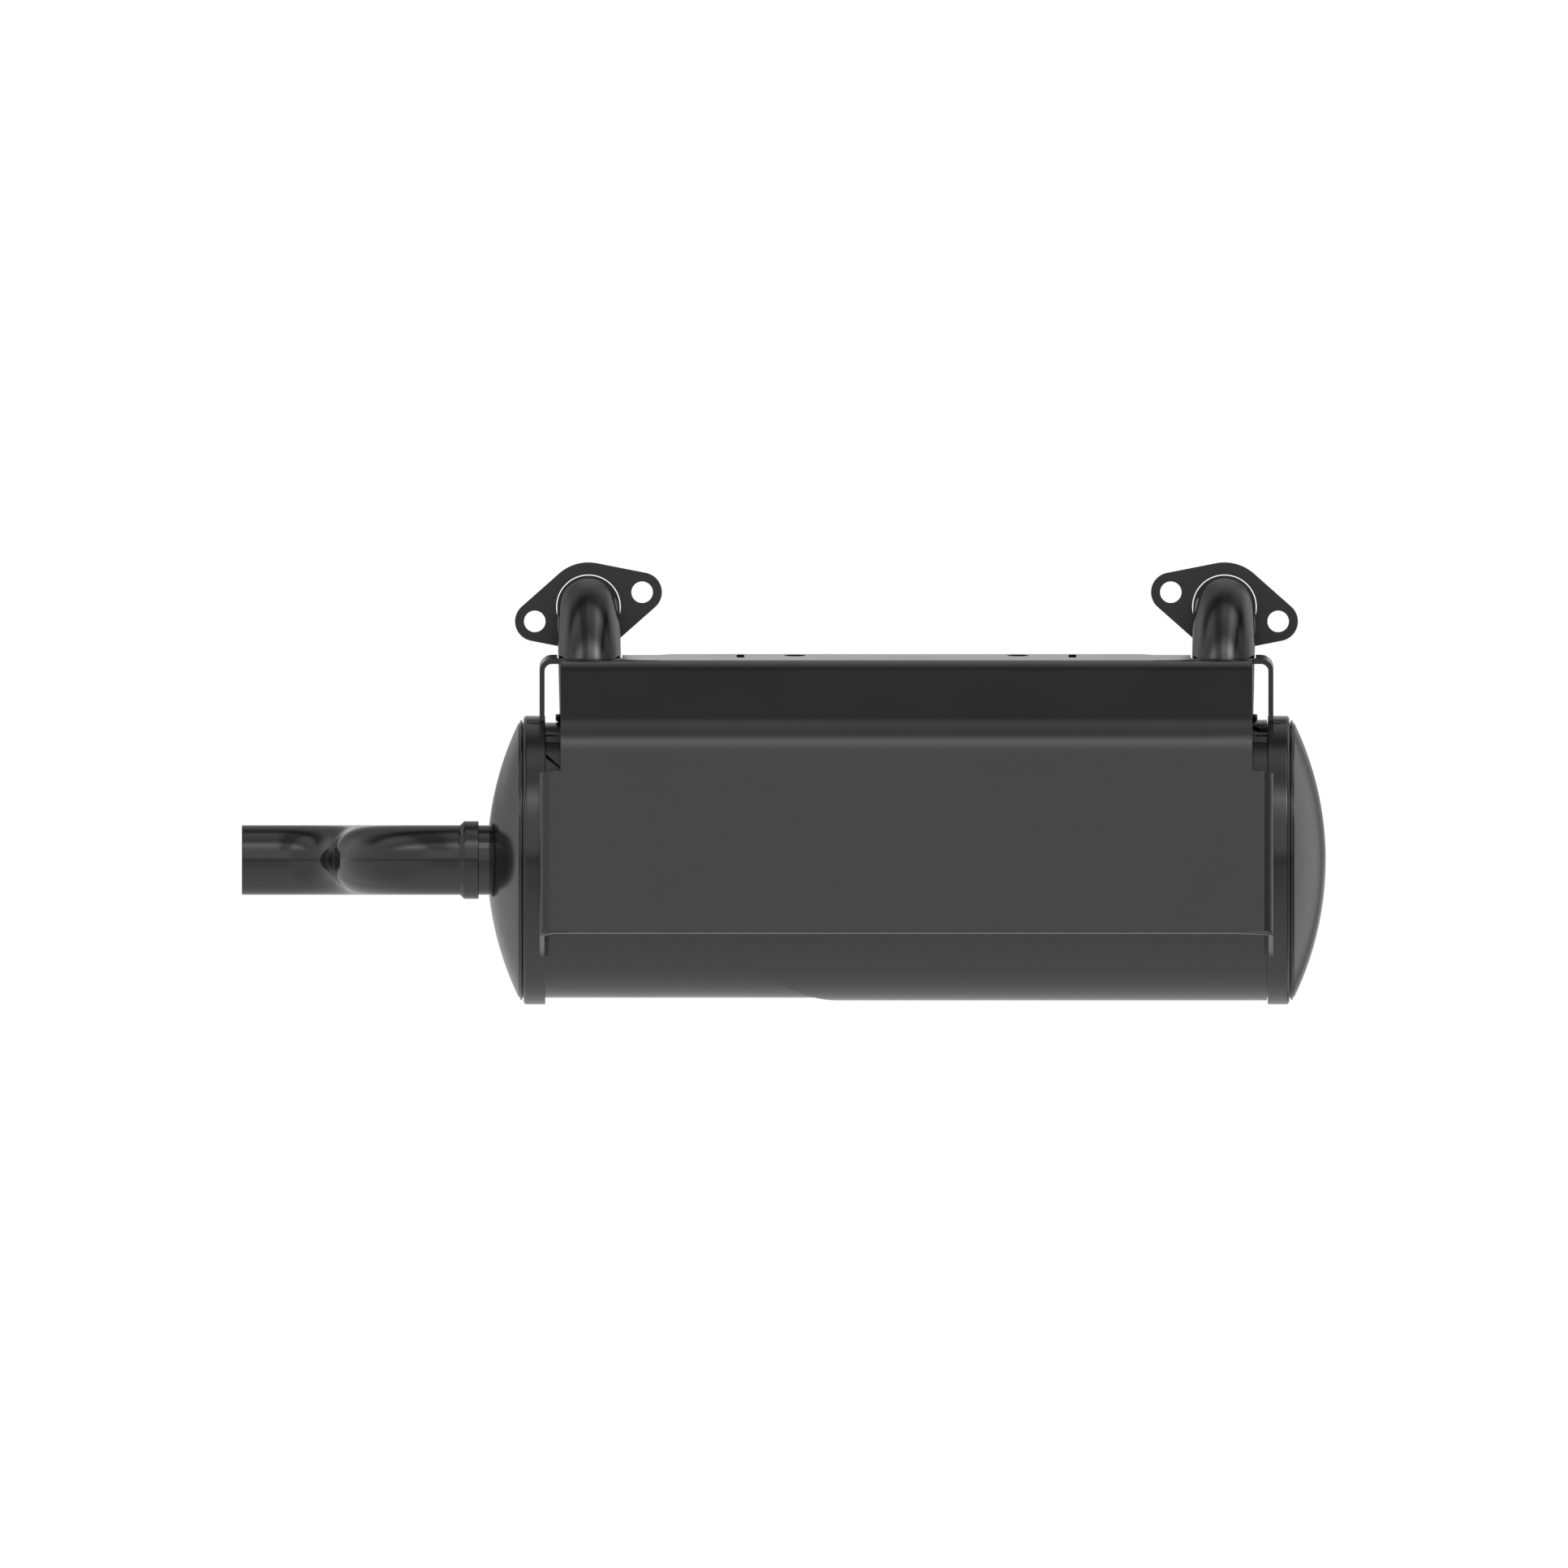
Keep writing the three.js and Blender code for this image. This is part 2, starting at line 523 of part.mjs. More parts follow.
function place(name, body, material) {
  const mesh = new THREE.Mesh(toGeometry(body.translate([0, 0, -mountHeight])), material);
  mesh.name = name;
  muffler.add(mesh);
}

place('shell', shellBody(), paint);
place('outer_wrap', wrapBody(), paint);
place('baffle_left', baffleBody(-baffle.x, outlet.radius + gap, false), bareSteel);
place('baffle_centre', baffleBody(baffle.centreX, 0, true), bareSteel);
place('baffle_right', baffleBody(baffle.x, 0, false), bareSteel);
place('outlet_tube', outletTube(), paint);
place('spark_screen', screenBody(), meshSteel);
place('screen_ring', screenRing(), meshSteel);
place('tailpipe', tailpipe(), paint);
place('bracket_shield', shieldBody(), paint);
for (const [name, side] of sides) {
  place(`end_cap_${name}`, capBody(side), paint);
  place(`inlet_pipe_${name}`, inletPipe(side), paint);
  place(`inlet_collar_${name}`, inletCollar(side), paint);
  place(`inlet_flange_${name}`, inletFlange(side), paint);
}
for (const [name, side] of [['front', -1], ['back', 1]]) {
  place(`transfer_tube_${name}`, transferTube(side), bareSteel);
}

export default muffler;
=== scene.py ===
"""Looks of a twin-inlet exhaust muffler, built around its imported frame.

Every builder works in millimetres about the shell's axis: X along the shell towards the closed end,
Y towards the engine, Z up. Workshop.place turns that into metres in the frame.
"""
import logging
import math
from collections.abc import Callable, Iterable, Sequence
from dataclasses import dataclass, field
from enum import Enum

import bmesh
import bpy
from mathutils import Matrix, Vector
from mathutils.geometry import delaunay_2d_cdt, intersect_point_line


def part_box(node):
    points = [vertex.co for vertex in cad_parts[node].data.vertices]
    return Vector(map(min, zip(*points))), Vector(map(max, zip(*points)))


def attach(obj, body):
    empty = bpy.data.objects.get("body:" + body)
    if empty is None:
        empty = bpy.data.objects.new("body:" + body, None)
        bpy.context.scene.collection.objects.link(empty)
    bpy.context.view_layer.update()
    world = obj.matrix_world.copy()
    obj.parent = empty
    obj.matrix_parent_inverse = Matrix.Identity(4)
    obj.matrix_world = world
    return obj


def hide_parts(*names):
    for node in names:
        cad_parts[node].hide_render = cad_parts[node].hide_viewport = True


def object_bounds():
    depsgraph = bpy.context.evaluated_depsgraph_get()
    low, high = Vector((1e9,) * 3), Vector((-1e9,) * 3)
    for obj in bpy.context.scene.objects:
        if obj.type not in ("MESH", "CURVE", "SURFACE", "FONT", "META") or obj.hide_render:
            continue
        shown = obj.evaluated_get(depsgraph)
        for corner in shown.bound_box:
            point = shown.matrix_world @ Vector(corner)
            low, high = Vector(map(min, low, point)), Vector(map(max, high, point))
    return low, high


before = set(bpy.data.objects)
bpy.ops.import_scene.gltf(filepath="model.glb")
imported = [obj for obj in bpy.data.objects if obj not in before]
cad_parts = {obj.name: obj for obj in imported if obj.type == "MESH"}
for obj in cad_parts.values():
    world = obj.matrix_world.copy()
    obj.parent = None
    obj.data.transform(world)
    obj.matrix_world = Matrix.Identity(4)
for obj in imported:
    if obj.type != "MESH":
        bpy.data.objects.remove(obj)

CAD_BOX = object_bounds()
LOG = logging.getLogger("muffler")

MM = 0.001
FINE_FACETS = 256
TUBE_FACETS = 96
Pair = tuple[float, float]


class Side(Enum):
    """The two ends of the muffler, by the sign of X."""

    LEFT = -1
    RIGHT = 1

    @property
    def word(self) -> str:
        """The side's name as the node names spell it."""
        return self.name.lower()


class Slot(Enum):
    """The record's material slots."""

    PAINT = "black_paint"
    PLATE = "black_paint_flange"
    STEEL = "bare_steel"
    SCREEN = "screen_steel"


# ---- shared shader groups ----


class NodeDesk:
    """Adds and joins shader nodes in one node tree."""

    def __init__(self, tree: bpy.types.NodeTree) -> None:
        """Starts work on a tree."""
        self.tree = tree

    def node(self, kind: str, **settings: object) -> bpy.types.Node:
        """Adds a node.

        Args:
            kind: the node type without its "ShaderNode" prefix, or in full for the group's own ends.
            **settings: properties to set on it.

        Returns:
            The new node.
        """
        made = self.tree.nodes.new(kind if kind.startswith("NodeGroup") else f"ShaderNode{kind}")
        for key, value in settings.items():
            setattr(made, key, value)
        return made

    def feed(self, value: object, socket: bpy.types.NodeSocket) -> None:
        """Sets a socket to a number or a colour, or joins another socket to it."""
        if isinstance(value, bpy.types.NodeSocket):
            self.tree.links.new(value, socket)
        else:
            socket.default_value = value

    def math(self, operation: str, first: object, second: object = 0.0) -> bpy.types.NodeSocket:
        """A math node on sockets or numbers.

        Args:
            operation: Blender's name of the operation.
            first: a socket or a number.
            second: a socket or a number.

        Returns:
            The result's socket.
        """
        made = self.node("Math", operation=operation)
        self.feed(first, made.inputs[0])
        self.feed(second, made.inputs[1])
        return made.outputs[0]

    def ranged(self, value: bpy.types.NodeSocket, low: float, high: float) -> bpy.types.NodeSocket:
        """Stretches low..high to 0..1, smoothly.

        Args:
            value: the socket to stretch.
            low: what becomes 0.
            high: what becomes 1.

        Returns:
            The stretched value's socket.
        """
        made = self.node("MapRange", interpolation_type="SMOOTHSTEP")
        made.inputs["From Min"].default_value = low
        made.inputs["From Max"].default_value = high
        self.feed(value, made.inputs["Value"])
        return made.outputs["Result"]

    def curve(self, value: bpy.types.NodeSocket, points: Sequence[Pair]) -> bpy.types.NodeSocket:
        """A piecewise-linear curve through some points.

        Args:
            value: the socket to look up, in the points' own units.
            points: (value, result) pairs in rising order.

        Returns:
            The looked-up result's socket.
        """
        low, high = points[0][0], points[-1][0]
        peak = max(level for _, level in points)
        share = self.node("MapRange")
        share.inputs["From Min"].default_value = low
        share.inputs["From Max"].default_value = high
        self.feed(value, share.inputs["Value"])
        made = self.node("FloatCurve")
        line = made.mapping.curves[0]
        for _ in points[2:]:
            line.points.new(0.5, 0.5)
        for point, (place, level) in zip(line.points, points):
            point.location = ((place - low) / (high - low), level / peak)
            point.handle_type = "VECTOR"
        made.mapping.update()
        self.feed(share.outputs[0], made.inputs["Value"])
        return self.math("MULTIPLY", made.outputs[0], peak)

    def blend(self, factor: object, first: object, second: object) -> bpy.types.NodeSocket:
        """Mixes two numbers; returns the mixed value's socket."""
        made = self.node("Mix", data_type="FLOAT")
        for index, value in enumerate((factor, first, second)):
            self.feed(value, made.inputs[(0, 2, 3)[index]])
        return made.outputs[0]

    def mix(self, factor: object, first: object, second: object) -> bpy.types.NodeSocket:
        """Mixes two colours; returns the mixed colour's socket."""
        made = self.node("Mix", data_type="RGBA")
        for index, value in enumerate((factor, first, second)):
            self.feed(value, made.inputs[(0, 6, 7)[index]])
        return made.outputs[2]


class GroupBuilder(NodeDesk):
    """Builds one shader node group with named sockets."""

    def __init__(self, name: str) -> None:
        """Starts an empty group of that name."""
        super().__init__(bpy.data.node_groups.new(name, "ShaderNodeTree"))
        self.entry = self.node("NodeGroupInput")
        self.exit = self.node("NodeGroupOutput")

    def add_inputs(self, defaults: dict[str, float | Sequence[float]]) -> None:
        """Adds named inputs.

        Args:
            defaults: each input's default; a number makes a Float socket, four numbers a Color one.
        """
        for name, value in defaults.items():
            kind = "Float" if isinstance(value, float) else "Color"
            socket = self.tree.interface.new_socket(name, in_out="INPUT", socket_type=f"NodeSocket{kind}")
            socket.default_value = value

    def finish(self, **results: bpy.types.NodeSocket) -> bpy.types.NodeTree:
        """Adds one output for each result and joins it; Color is a colour, the rest are numbers."""
        for name, source in results.items():
            kind = "Color" if name == "Color" else "Float"
            self.tree.interface.new_socket(name, in_out="OUTPUT", socket_type=f"NodeSocket{kind}")
            self.feed(source, self.exit.inputs[name])
        return self.tree

    def noise(self, scale_input: str, detail: float, roughness: float = 0.5) -> bpy.types.NodeSocket:
        """A noise on object coordinates whose scale is one of the group's inputs.

        Args:
            scale_input: the input that holds the scale.
            detail: octaves of the noise.
            roughness: how strong the finer octaves are.

        Returns:
            The noise's value socket.
        """
        made = self.node("TexNoise")
        made.inputs["Detail"].default_value = detail
        made.inputs["Roughness"].default_value = roughness
        self.feed(self.node("TexCoord").outputs["Object"], made.inputs["Vector"])
        self.feed(self.entry.outputs[scale_input], made.inputs["Scale"])
        return made.outputs["Fac"]


def paint_skin_group() -> bpy.types.NodeTree:
    """Sprayed paint: orange peel, slow gloss changes and a thin film of dust.

    Returns:
        The shader group, with outputs Color, Roughness and Height.
    """
    group = GroupBuilder("paint_skin")
    group.add_inputs({
        "Paint": (0.01, 0.01, 0.01, 1), "Dust": (0.05, 0.05, 0.05, 1), "Dust Amount": 0.1, "Gloss": 0.3,
        "Gloss Spread": 0.05, "Peel Scale": 500.0, "Cloud Scale": 14.0, "Speck Scale": 2400.0})
    given = group.entry.outputs
    cloud = group.ranged(group.noise("Cloud Scale", 3.0), 0.3, 0.7)
    speck = group.ranged(group.noise("Speck Scale", 1.0), 0.62, 0.8)
    peel = group.noise("Peel Scale", 2.0, 0.4)
    settled = group.math("MULTIPLY", cloud, given["Dust Amount"])
    dusty = group.math("MULTIPLY", settled, group.blend(speck, 0.4, 1.0))
    spread = group.math("MULTIPLY", group.math("SUBTRACT", cloud, 0.5), given["Gloss Spread"])
    return group.finish(Color=group.mix(dusty, given["Paint"], given["Dust"]),
                        Roughness=group.math("ADD", given["Gloss"], spread), Height=peel)


def steel_skin_group() -> bpy.types.NodeTree:
    """Bare sheet steel: rolling grain, heat tint and soot.

    Returns:
        The shader group, with outputs Color, Roughness and Height.
    """
    group = GroupBuilder("steel_skin")
    group.add_inputs({
        "Steel": (0.3, 0.28, 0.26, 1), "Heat Tint": (0.16, 0.1, 0.07, 1), "Soot": (0.02, 0.018, 0.016, 1),
        "Grain Scale": 900.0, "Cloud Scale": 30.0, "Gloss": 0.45})
    given = group.entry.outputs
    tint = group.ranged(group.noise("Cloud Scale", 4.0), 0.4, 0.65)
    grain = group.noise("Grain Scale", 3.0, 0.7)
    soot = group.math("MULTIPLY", group.ranged(grain, 0.5, 0.75), 0.5)
    heated = group.mix(tint, given["Steel"], given["Heat Tint"])
    rough = group.math("ADD", given["Gloss"], group.math("MULTIPLY", tint, 0.15))
    return group.finish(Color=group.mix(soot, heated, given["Soot"]), Roughness=rough, Height=grain)


class Skin(Enum):
    """The shared shader groups, built once each."""

    PAINT = "paint"
    STEEL = "steel"

    def tree(self) -> bpy.types.NodeTree:
        """The group's node tree, made on first use."""
        name = f"{self.value}_skin"
        made = bpy.data.node_groups.get(name)
        return made or {"paint": paint_skin_group, "steel": steel_skin_group}[self.value]()


@dataclass(frozen=True)
class Finish:
    """One surface finish: a shared skin with values for its inputs, a record slot and its bump."""

    name: str
    skin: Skin
    slot: Slot
    values: dict[str, object] = field(default_factory=dict, hash=False)
    metallic: float = 0.0
    bump: float = 0.1
    bump_reach: float = 0.0001

    def material(self) -> bpy.types.Material:
        """The finish as a material, made on first use."""
        found = bpy.data.materials.get(self.name)
        if found:
            return found
        made = bpy.data.materials.new(self.name)
        made.use_nodes = True
        nodes, links = made.node_tree.nodes, made.node_tree.links
        shader = nodes["Principled BSDF"]
        shader.inputs["Metallic"].default_value = self.metallic
        skin = nodes.new("ShaderNodeGroup")
        skin.node_tree = self.skin.tree()
        for key, value in self.values.items():
            skin.inputs[key].default_value = value
        bump = nodes.new("ShaderNodeBump")
        bump.inputs["Strength"].default_value = self.bump
        bump.inputs["Distance"].default_value = self.bump_reach
        links.new(skin.outputs["Color"], shader.inputs["Base Color"])
        links.new(skin.outputs["Roughness"], shader.inputs["Roughness"])
        links.new(skin.outputs["Height"], bump.inputs["Height"])
        links.new(bump.outputs["Normal"], shader.inputs["Normal"])
        return made


BLACK = (0.0045, 0.0045, 0.0047, 1)
SHEET_PAINT = Finish("satin_black_paint", Skin.PAINT, Slot.PAINT,
                     {"Paint": BLACK, "Gloss": 0.15, "Gloss Spread": 0.03, "Dust Amount": 0.10}, bump=0.025)
TUBE_PAINT = Finish("tube_black_paint", Skin.PAINT, Slot.PAINT,
                    {"Paint": BLACK, "Gloss": 0.11, "Gloss Spread": 0.02, "Dust Amount": 0.08,
                     "Peel Scale": 420.0}, bump=0.015)
CAP_PAINT = Finish("cap_black_paint", Skin.PAINT, Slot.PAINT,
                   {"Paint": BLACK, "Gloss": 0.14, "Gloss Spread": 0.03, "Dust Amount": 0.12,
                    "Cloud Scale": 22.0}, bump=0.02)
PLATE_PAINT = Finish("plate_black_paint", Skin.PAINT, Slot.PLATE,
                     {"Paint": BLACK, "Gloss": 0.26, "Gloss Spread": 0.05, "Dust Amount": 0.14,
                      "Peel Scale": 700.0}, bump=0.08)
WELD_PAINT = Finish("weld_black_paint", Skin.PAINT, Slot.PAINT,
                    {"Paint": BLACK, "Gloss": 0.34, "Gloss Spread": 0.08, "Dust Amount": 0.2,
                     "Peel Scale": 900.0}, bump=0.25)
SHEET_STEEL = Finish("heated_sheet_steel", Skin.STEEL, Slot.STEEL, {}, metallic=1.0, bump=0.1)
SCREEN_STEEL = Finish("pierced_stainless", Skin.STEEL, Slot.SCREEN,
                      {"Steel": (0.45, 0.44, 0.42, 1), "Grain Scale": 1400.0, "Gloss": 0.35},
                      metallic=1.0, bump=0.08)


# ---- outlines and profiles ----


def arc(centre: Pair, radius: float, start: float, end: float, steps: int) -> list[Pair]:
    """Points of an arc about a centre, from one angle in degrees to another in a number of steps."""
    angles = (math.radians(start + (end - start) * i / steps) for i in range(steps + 1))
    return [(centre[0] + radius * math.cos(a), centre[1] + radius * math.sin(a)) for a in angles]


def circle(centre: Pair, radius: float, count: int) -> list[Pair]:
    """Points of a whole circle, without the repeated last one."""
    return arc(centre, radius, 0, 360, count)[:-1]


def rounded(corners: Sequence[tuple[float, float, float]], closed: bool = True,
            support: float = 0.35) -> list[Pair]:
    """A polyline whose corners are rounded, with holding points beside each fillet.

    Args:
        corners: (x, y, radius) of each corner; radius 0 keeps it sharp.
        closed: whether the last corner joins the first.
        support: distance of the holding points from a fillet.

    Returns:
        The line's points.
    """
    points: list[Pair] = []
    count = len(corners)
    for i, (x, y, radius) in enumerate(corners):
        if radius <= 0 or (not closed and i in (0, count - 1)):
            points.append((x, y))
            continue
        here = Vector((x, y))
        before = Vector(corners[i - 1][:2]) - here
        after = Vector(corners[(i + 1) % count][:2]) - here
        half = before.angle(after) / 2
        reach = min(radius / math.tan(half), before.length * 0.48, after.length * 0.48)
        radius = reach * math.tan(half)
        centre = here + (before.normalized() + after.normalized()).normalized() * (radius / math.sin(half))
        first, last = here + before.normalized() * reach, here + after.normalized() * reach
        if before.length > 4 * support + reach:
            points.append(tuple(first + before.normalized() * support))
        start, end = first - centre, last - centre
        turn = start.angle_signed(end)
        steps = max(3, round(abs(math.degrees(turn)) / 14))
        for step in range(steps + 1):
            spoke = Matrix.Rotation(-turn * step / steps, 2) @ start
            points.append(tuple(centre + spoke))
        if after.length > 4 * support + reach:
            points.append(tuple(last + after.normalized() * support))
    return points


# ---- mesh building ----


class Surface:
    """Vertices and faces of one piece, in millimetres about the shell's axis."""

    def __init__(self) -> None:
        """Starts empty."""
        self.points: list[Vector] = []
        self.faces: list[tuple[int, ...]] = []

    def ring(self, points: Iterable[Sequence[float]]) -> list[int]:
        """Adds points and returns their numbers."""
        first = len(self.points)
        self.points.extend(Vector(p) for p in points)
        return list(range(first, len(self.points)))

    def bridge(self, first: Sequence[int], second: Sequence[int], closed: bool = True) -> None:
        """Joins two rings of equal length with quads.

        Args:
            first: one ring.
            second: the other.
            closed: whether the rings close on themselves.
        """
        count = len(first)
        for i in range(count if closed else count - 1):
            j = (i + 1) % count
            self.faces.append((first[i], first[j], second[j], second[i]))

    def loft(self, rings: Sequence[Sequence[int]], closed: bool = False) -> None:
        """Joins rings in order, and the last to the first if closed."""
        for i in range(len(rings) if closed else len(rings) - 1):
            self.bridge(rings[i], rings[(i + 1) % len(rings)])

    def cap(self, ring: Sequence[int]) -> None:
        """Closes a ring with a fan about its middle."""
        middle = sum((self.points[i] for i in ring), Vector()) / len(ring)
        centre = self.ring([middle])[0]
        for i, a in enumerate(ring):
            self.faces.append((a, ring[(i + 1) % len(ring)], centre))

    def prism(self, rings: Sequence[Sequence[int]]) -> "Surface":
        """Joins rings in order, closes both ends and returns the surface."""
        self.loft(rings)
        self.cap(rings[0])
        self.cap(rings[-1])
        return self

    def moved(self, change: Matrix) -> "Surface":
        """Applies a matrix to every point and returns the surface."""
        self.points = [change @ p for p in self.points]
        return self

    def turned(self, profile: Sequence[Pair], facets: int, closed: bool = True) -> "Surface":
        """Turns an (x, radius) line about the X axis.

        Args:
            profile: the line's points.
            facets: how many steps round.
            closed: whether the line closes on itself; if not, it starts and ends on the axis.

        Returns:
            The surface, for chaining.
        """
        angles = [2 * math.pi * k / facets for k in range(facets)]
        inner = profile if closed else profile[1:-1]
        rings = [self.ring((x, r * math.cos(a), r * math.sin(a)) for a in angles) for x, r in inner]
        if not closed:
            return self.prism(rings)
        self.loft(rings, closed=True)
        return self


class Workshop:
    """Turns surfaces into finished pieces of the frame."""

    low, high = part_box("shell")
    axis = Vector((0, (low.y + high.y) / 2, (low.z + high.z) / 2))

    @classmethod
    def place(cls, point: Sequence[float]) -> Vector:
        """A point about the shell's axis in millimetres, as metres in the frame."""
        return Vector(point) * MM + cls.axis

    @staticmethod
    def add(name: str, data: bpy.types.ID) -> bpy.types.Object:
        """Adds an object to the scene."""
        made = bpy.data.objects.new(name, data)
        bpy.context.scene.collection.objects.link(made)
        return made

    @classmethod
    def mesh(cls, name: str, surface: Surface) -> bpy.types.Mesh:
        """Turns a surface into a mesh in the frame, with merged points and outward faces."""
        mesh = bpy.data.meshes.new(name)
        mesh.from_pydata([cls.place(p) for p in surface.points], [], surface.faces)
        shaped = bmesh.new()
        shaped.from_mesh(mesh)
        bmesh.ops.remove_doubles(shaped, verts=shaped.verts, dist=1e-7)
        bmesh.ops.delete(shaped, geom=[v for v in shaped.verts if not v.link_faces], context="VERTS")
        bmesh.ops.recalc_face_normals(shaped, faces=shaped.faces)
        shaped.to_mesh(mesh)
        shaped.free()
        return mesh

    @staticmethod
    def settle(made: bpy.types.Object) -> None:
        """Bakes an object's modifiers into its mesh."""
        view = bpy.context.evaluated_depsgraph_get()
        old, name = made.data, made.data.name
        made.data = bpy.data.meshes.new_from_object(made.evaluated_get(view))
        made.modifiers.clear()
        bpy.data.meshes.remove(old)
        made.data.name = name

    @classmethod
    def piece(cls, name: str, surface: Surface, finish: Finish, body: str = "muffler",
              replaces: Sequence[str] = (), cuts: Sequence[Surface] = ()) -> bpy.types.Object:
        """Makes a finished piece.

        Args:
            name: the piece's name.
            surface: its surface.
            finish: its finish.
            body: the body it moves with.
            replaces: frame nodes that it stands for.
            cuts: shapes to take away from it.

        Returns:
            The new object.
        """
        made = cls.add(name, cls.mesh(name, surface))
        for shape in cuts:
            tool = cls.add("tool", cls.mesh("tool", shape))
            step = made.modifiers.new("cut", "BOOLEAN")
            step.object, step.operation, step.solver = tool, "DIFFERENCE", "EXACT"
            cls.settle(made)
            bpy.data.objects.remove(tool)
        made.data.shade_smooth()
        made.data.set_sharp_from_angle(angle=math.radians(38))
        even = made.modifiers.new("even_shading", "WEIGHTED_NORMAL")
        even.weight, even.keep_sharp = 100, True
        cls.settle(made)
        return cls.dress(made, finish, body, replaces)

    @classmethod
    def dress(cls, made: bpy.types.Object, finish: Finish, body: str = "muffler",
              replaces: Sequence[str] = ()) -> bpy.types.Object:
        """Gives an object its finish and its body.

        Args:
            made: the object.
            finish: its finish.
            body: the body it moves with.
            replaces: frame nodes that it stands for.

        Returns:
            The object.
        """
        made.data.materials.clear()
        made.data.materials.append(finish.material())
        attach(made, body)
        if replaces:
            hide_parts(*replaces)
        LOG.info("%s: %d faces", made.name, len(made.data.polygons))
        return made


# ---- tubes ----


@dataclass
class Route:
    """A flat route of straights and bends: the walker's place and heading, and the plane's normal."""

    point: Vector
    heading: Vector
    across: Vector
    stops: list[tuple[Vector, Vector]] = field(default_factory=list)

    def __post_init__(self) -> None:
        """Records the starting place."""
        self.stops.append((self.point.copy(), self.heading.copy()))

    def straight(self, length: float, steps: int = 1) -> "Route":
        """Walks straight on and returns the route."""
        for _ in range(steps):
            self.point = self.point + self.heading * (length / steps)
            self.stops.append((self.point.copy(), self.heading.copy()))
        return self

    def bend(self, radius: float, angle: float, step: float = 3.0) -> "Route":
        """Walks a bend.

        Args:
            radius: the bend's radius.
            angle: how far it turns about the plane's normal, in degrees.
            step: degrees between stops.

        Returns:
            The route.
        """
        sign = math.copysign(1, angle)
        centre = self.point + self.across.cross(self.heading) * (radius * sign)
        spoke, heading = self.point - centre, self.heading
        count = round(abs(angle) / step)
        for i in range(1, count + 1):
            turn = Matrix.Rotation(math.radians(angle * i / count), 3, self.across)
            self.heading, self.point = turn @ heading, centre + turn @ spoke
            self.stops.append((self.point.copy(), self.heading.copy()))
        return self


def tube(route: Route, radii: Sequence[float], wall: float, lips: Pair = (0.5, 0.5)) -> Surface:
    """A tube with rounded ends along a route.

    Args:
        route: the middle line.
        radii: the outer radius at each of its stops.
        wall: wall thickness.
        lips: rounding of the first and of the last edge.

    Returns:
        The closed surface.
    """
    made = Surface()
    angles = [2 * math.pi * k / TUBE_FACETS for k in range(TUBE_FACETS)]

    def hoop(index: int, inward: float = 0.0, onward: float = 0.0) -> list[int]:
        """A ring round one stop, moved inward and onward."""
        point, heading = route.stops[index]
        u, v = route.across, route.across.cross(heading)
        middle, radius = point + heading * onward, radii[index] - inward
        return made.ring(middle + (u * math.cos(a) + v * math.sin(a)) * radius for a in angles)

    def end(index: int, lip: float) -> list[list[int]]:
        """The rings over one end's lip, from outside to inside."""
        way = 1 if index == 0 else -1
        quarter = [math.radians(d) for d in (90, 60, 30, 0)]
        edge = [(lip * (1 - math.sin(t)), way * lip * (1 - math.cos(t))) for t in quarter]
        hold = way * (lip + 0.4)
        return [hoop(index, 0, hold), *(hoop(index, inward, go) for inward, go in edge),
                *(hoop(index, wall - inward, go) for inward, go in edge[::-1]), hoop(index, wall, hold)]

    middle = range(1, len(route.stops) - 1)
    first, last = end(0, lips[0]), end(-1, lips[1])
    made.loft([*first[::-1], *(hoop(i) for i in middle), *last, *(hoop(i, wall) for i in middle[::-1])],
              closed=True)
    return made


# ---- sheets and plates ----


Mapping = Callable[[float, float, float], Vector]


def inside(point: Vector, loop: Sequence[Vector]) -> bool:
    """Whether a flat point lies inside a closed line."""
    hit = False
    for i, b in enumerate(loop):
        a = loop[i - 1]
        if (a.y > point.y) != (b.y > point.y):
            hit ^= point.x < (b.x - a.x) * (point.y - a.y) / (b.y - a.y) + a.x
    return hit


def clearance(point: Vector, loops: Sequence[Sequence[Vector]]) -> float:
    """Distance from a flat point to the nearest of some closed lines."""
    best = math.inf
    for loop in loops:
        for i, b in enumerate(loop):
            near, share = intersect_point_line(point, loop[i - 1], b)
            near = Vector(near[:2]) if 0 < share < 1 else (b if share >= 1 else loop[i - 1])
            best = min(best, (point - near).length)
    return best


def inset(loop: Sequence[Vector], amount: float) -> list[Vector]:
    """A closed line moved to its left by an amount.

    Args:
        loop: the line, counter-clockwise round material and clockwise round a hole.
        amount: how far each side moves.

    Returns:
        The moved points, one for each given point.
    """
    moved = []
    for i, here in enumerate(loop):
        before = (here - loop[i - 1]).normalized()
        after = (loop[(i + 1) % len(loop)] - here).normalized()
        left = Vector((-before.y, before.x)) + Vector((-after.y, after.x))
        left.normalize()
        share = max(0.45, left.dot(Vector((-before.y, before.x))))
        moved.append(here + left * (amount / share))
    return moved


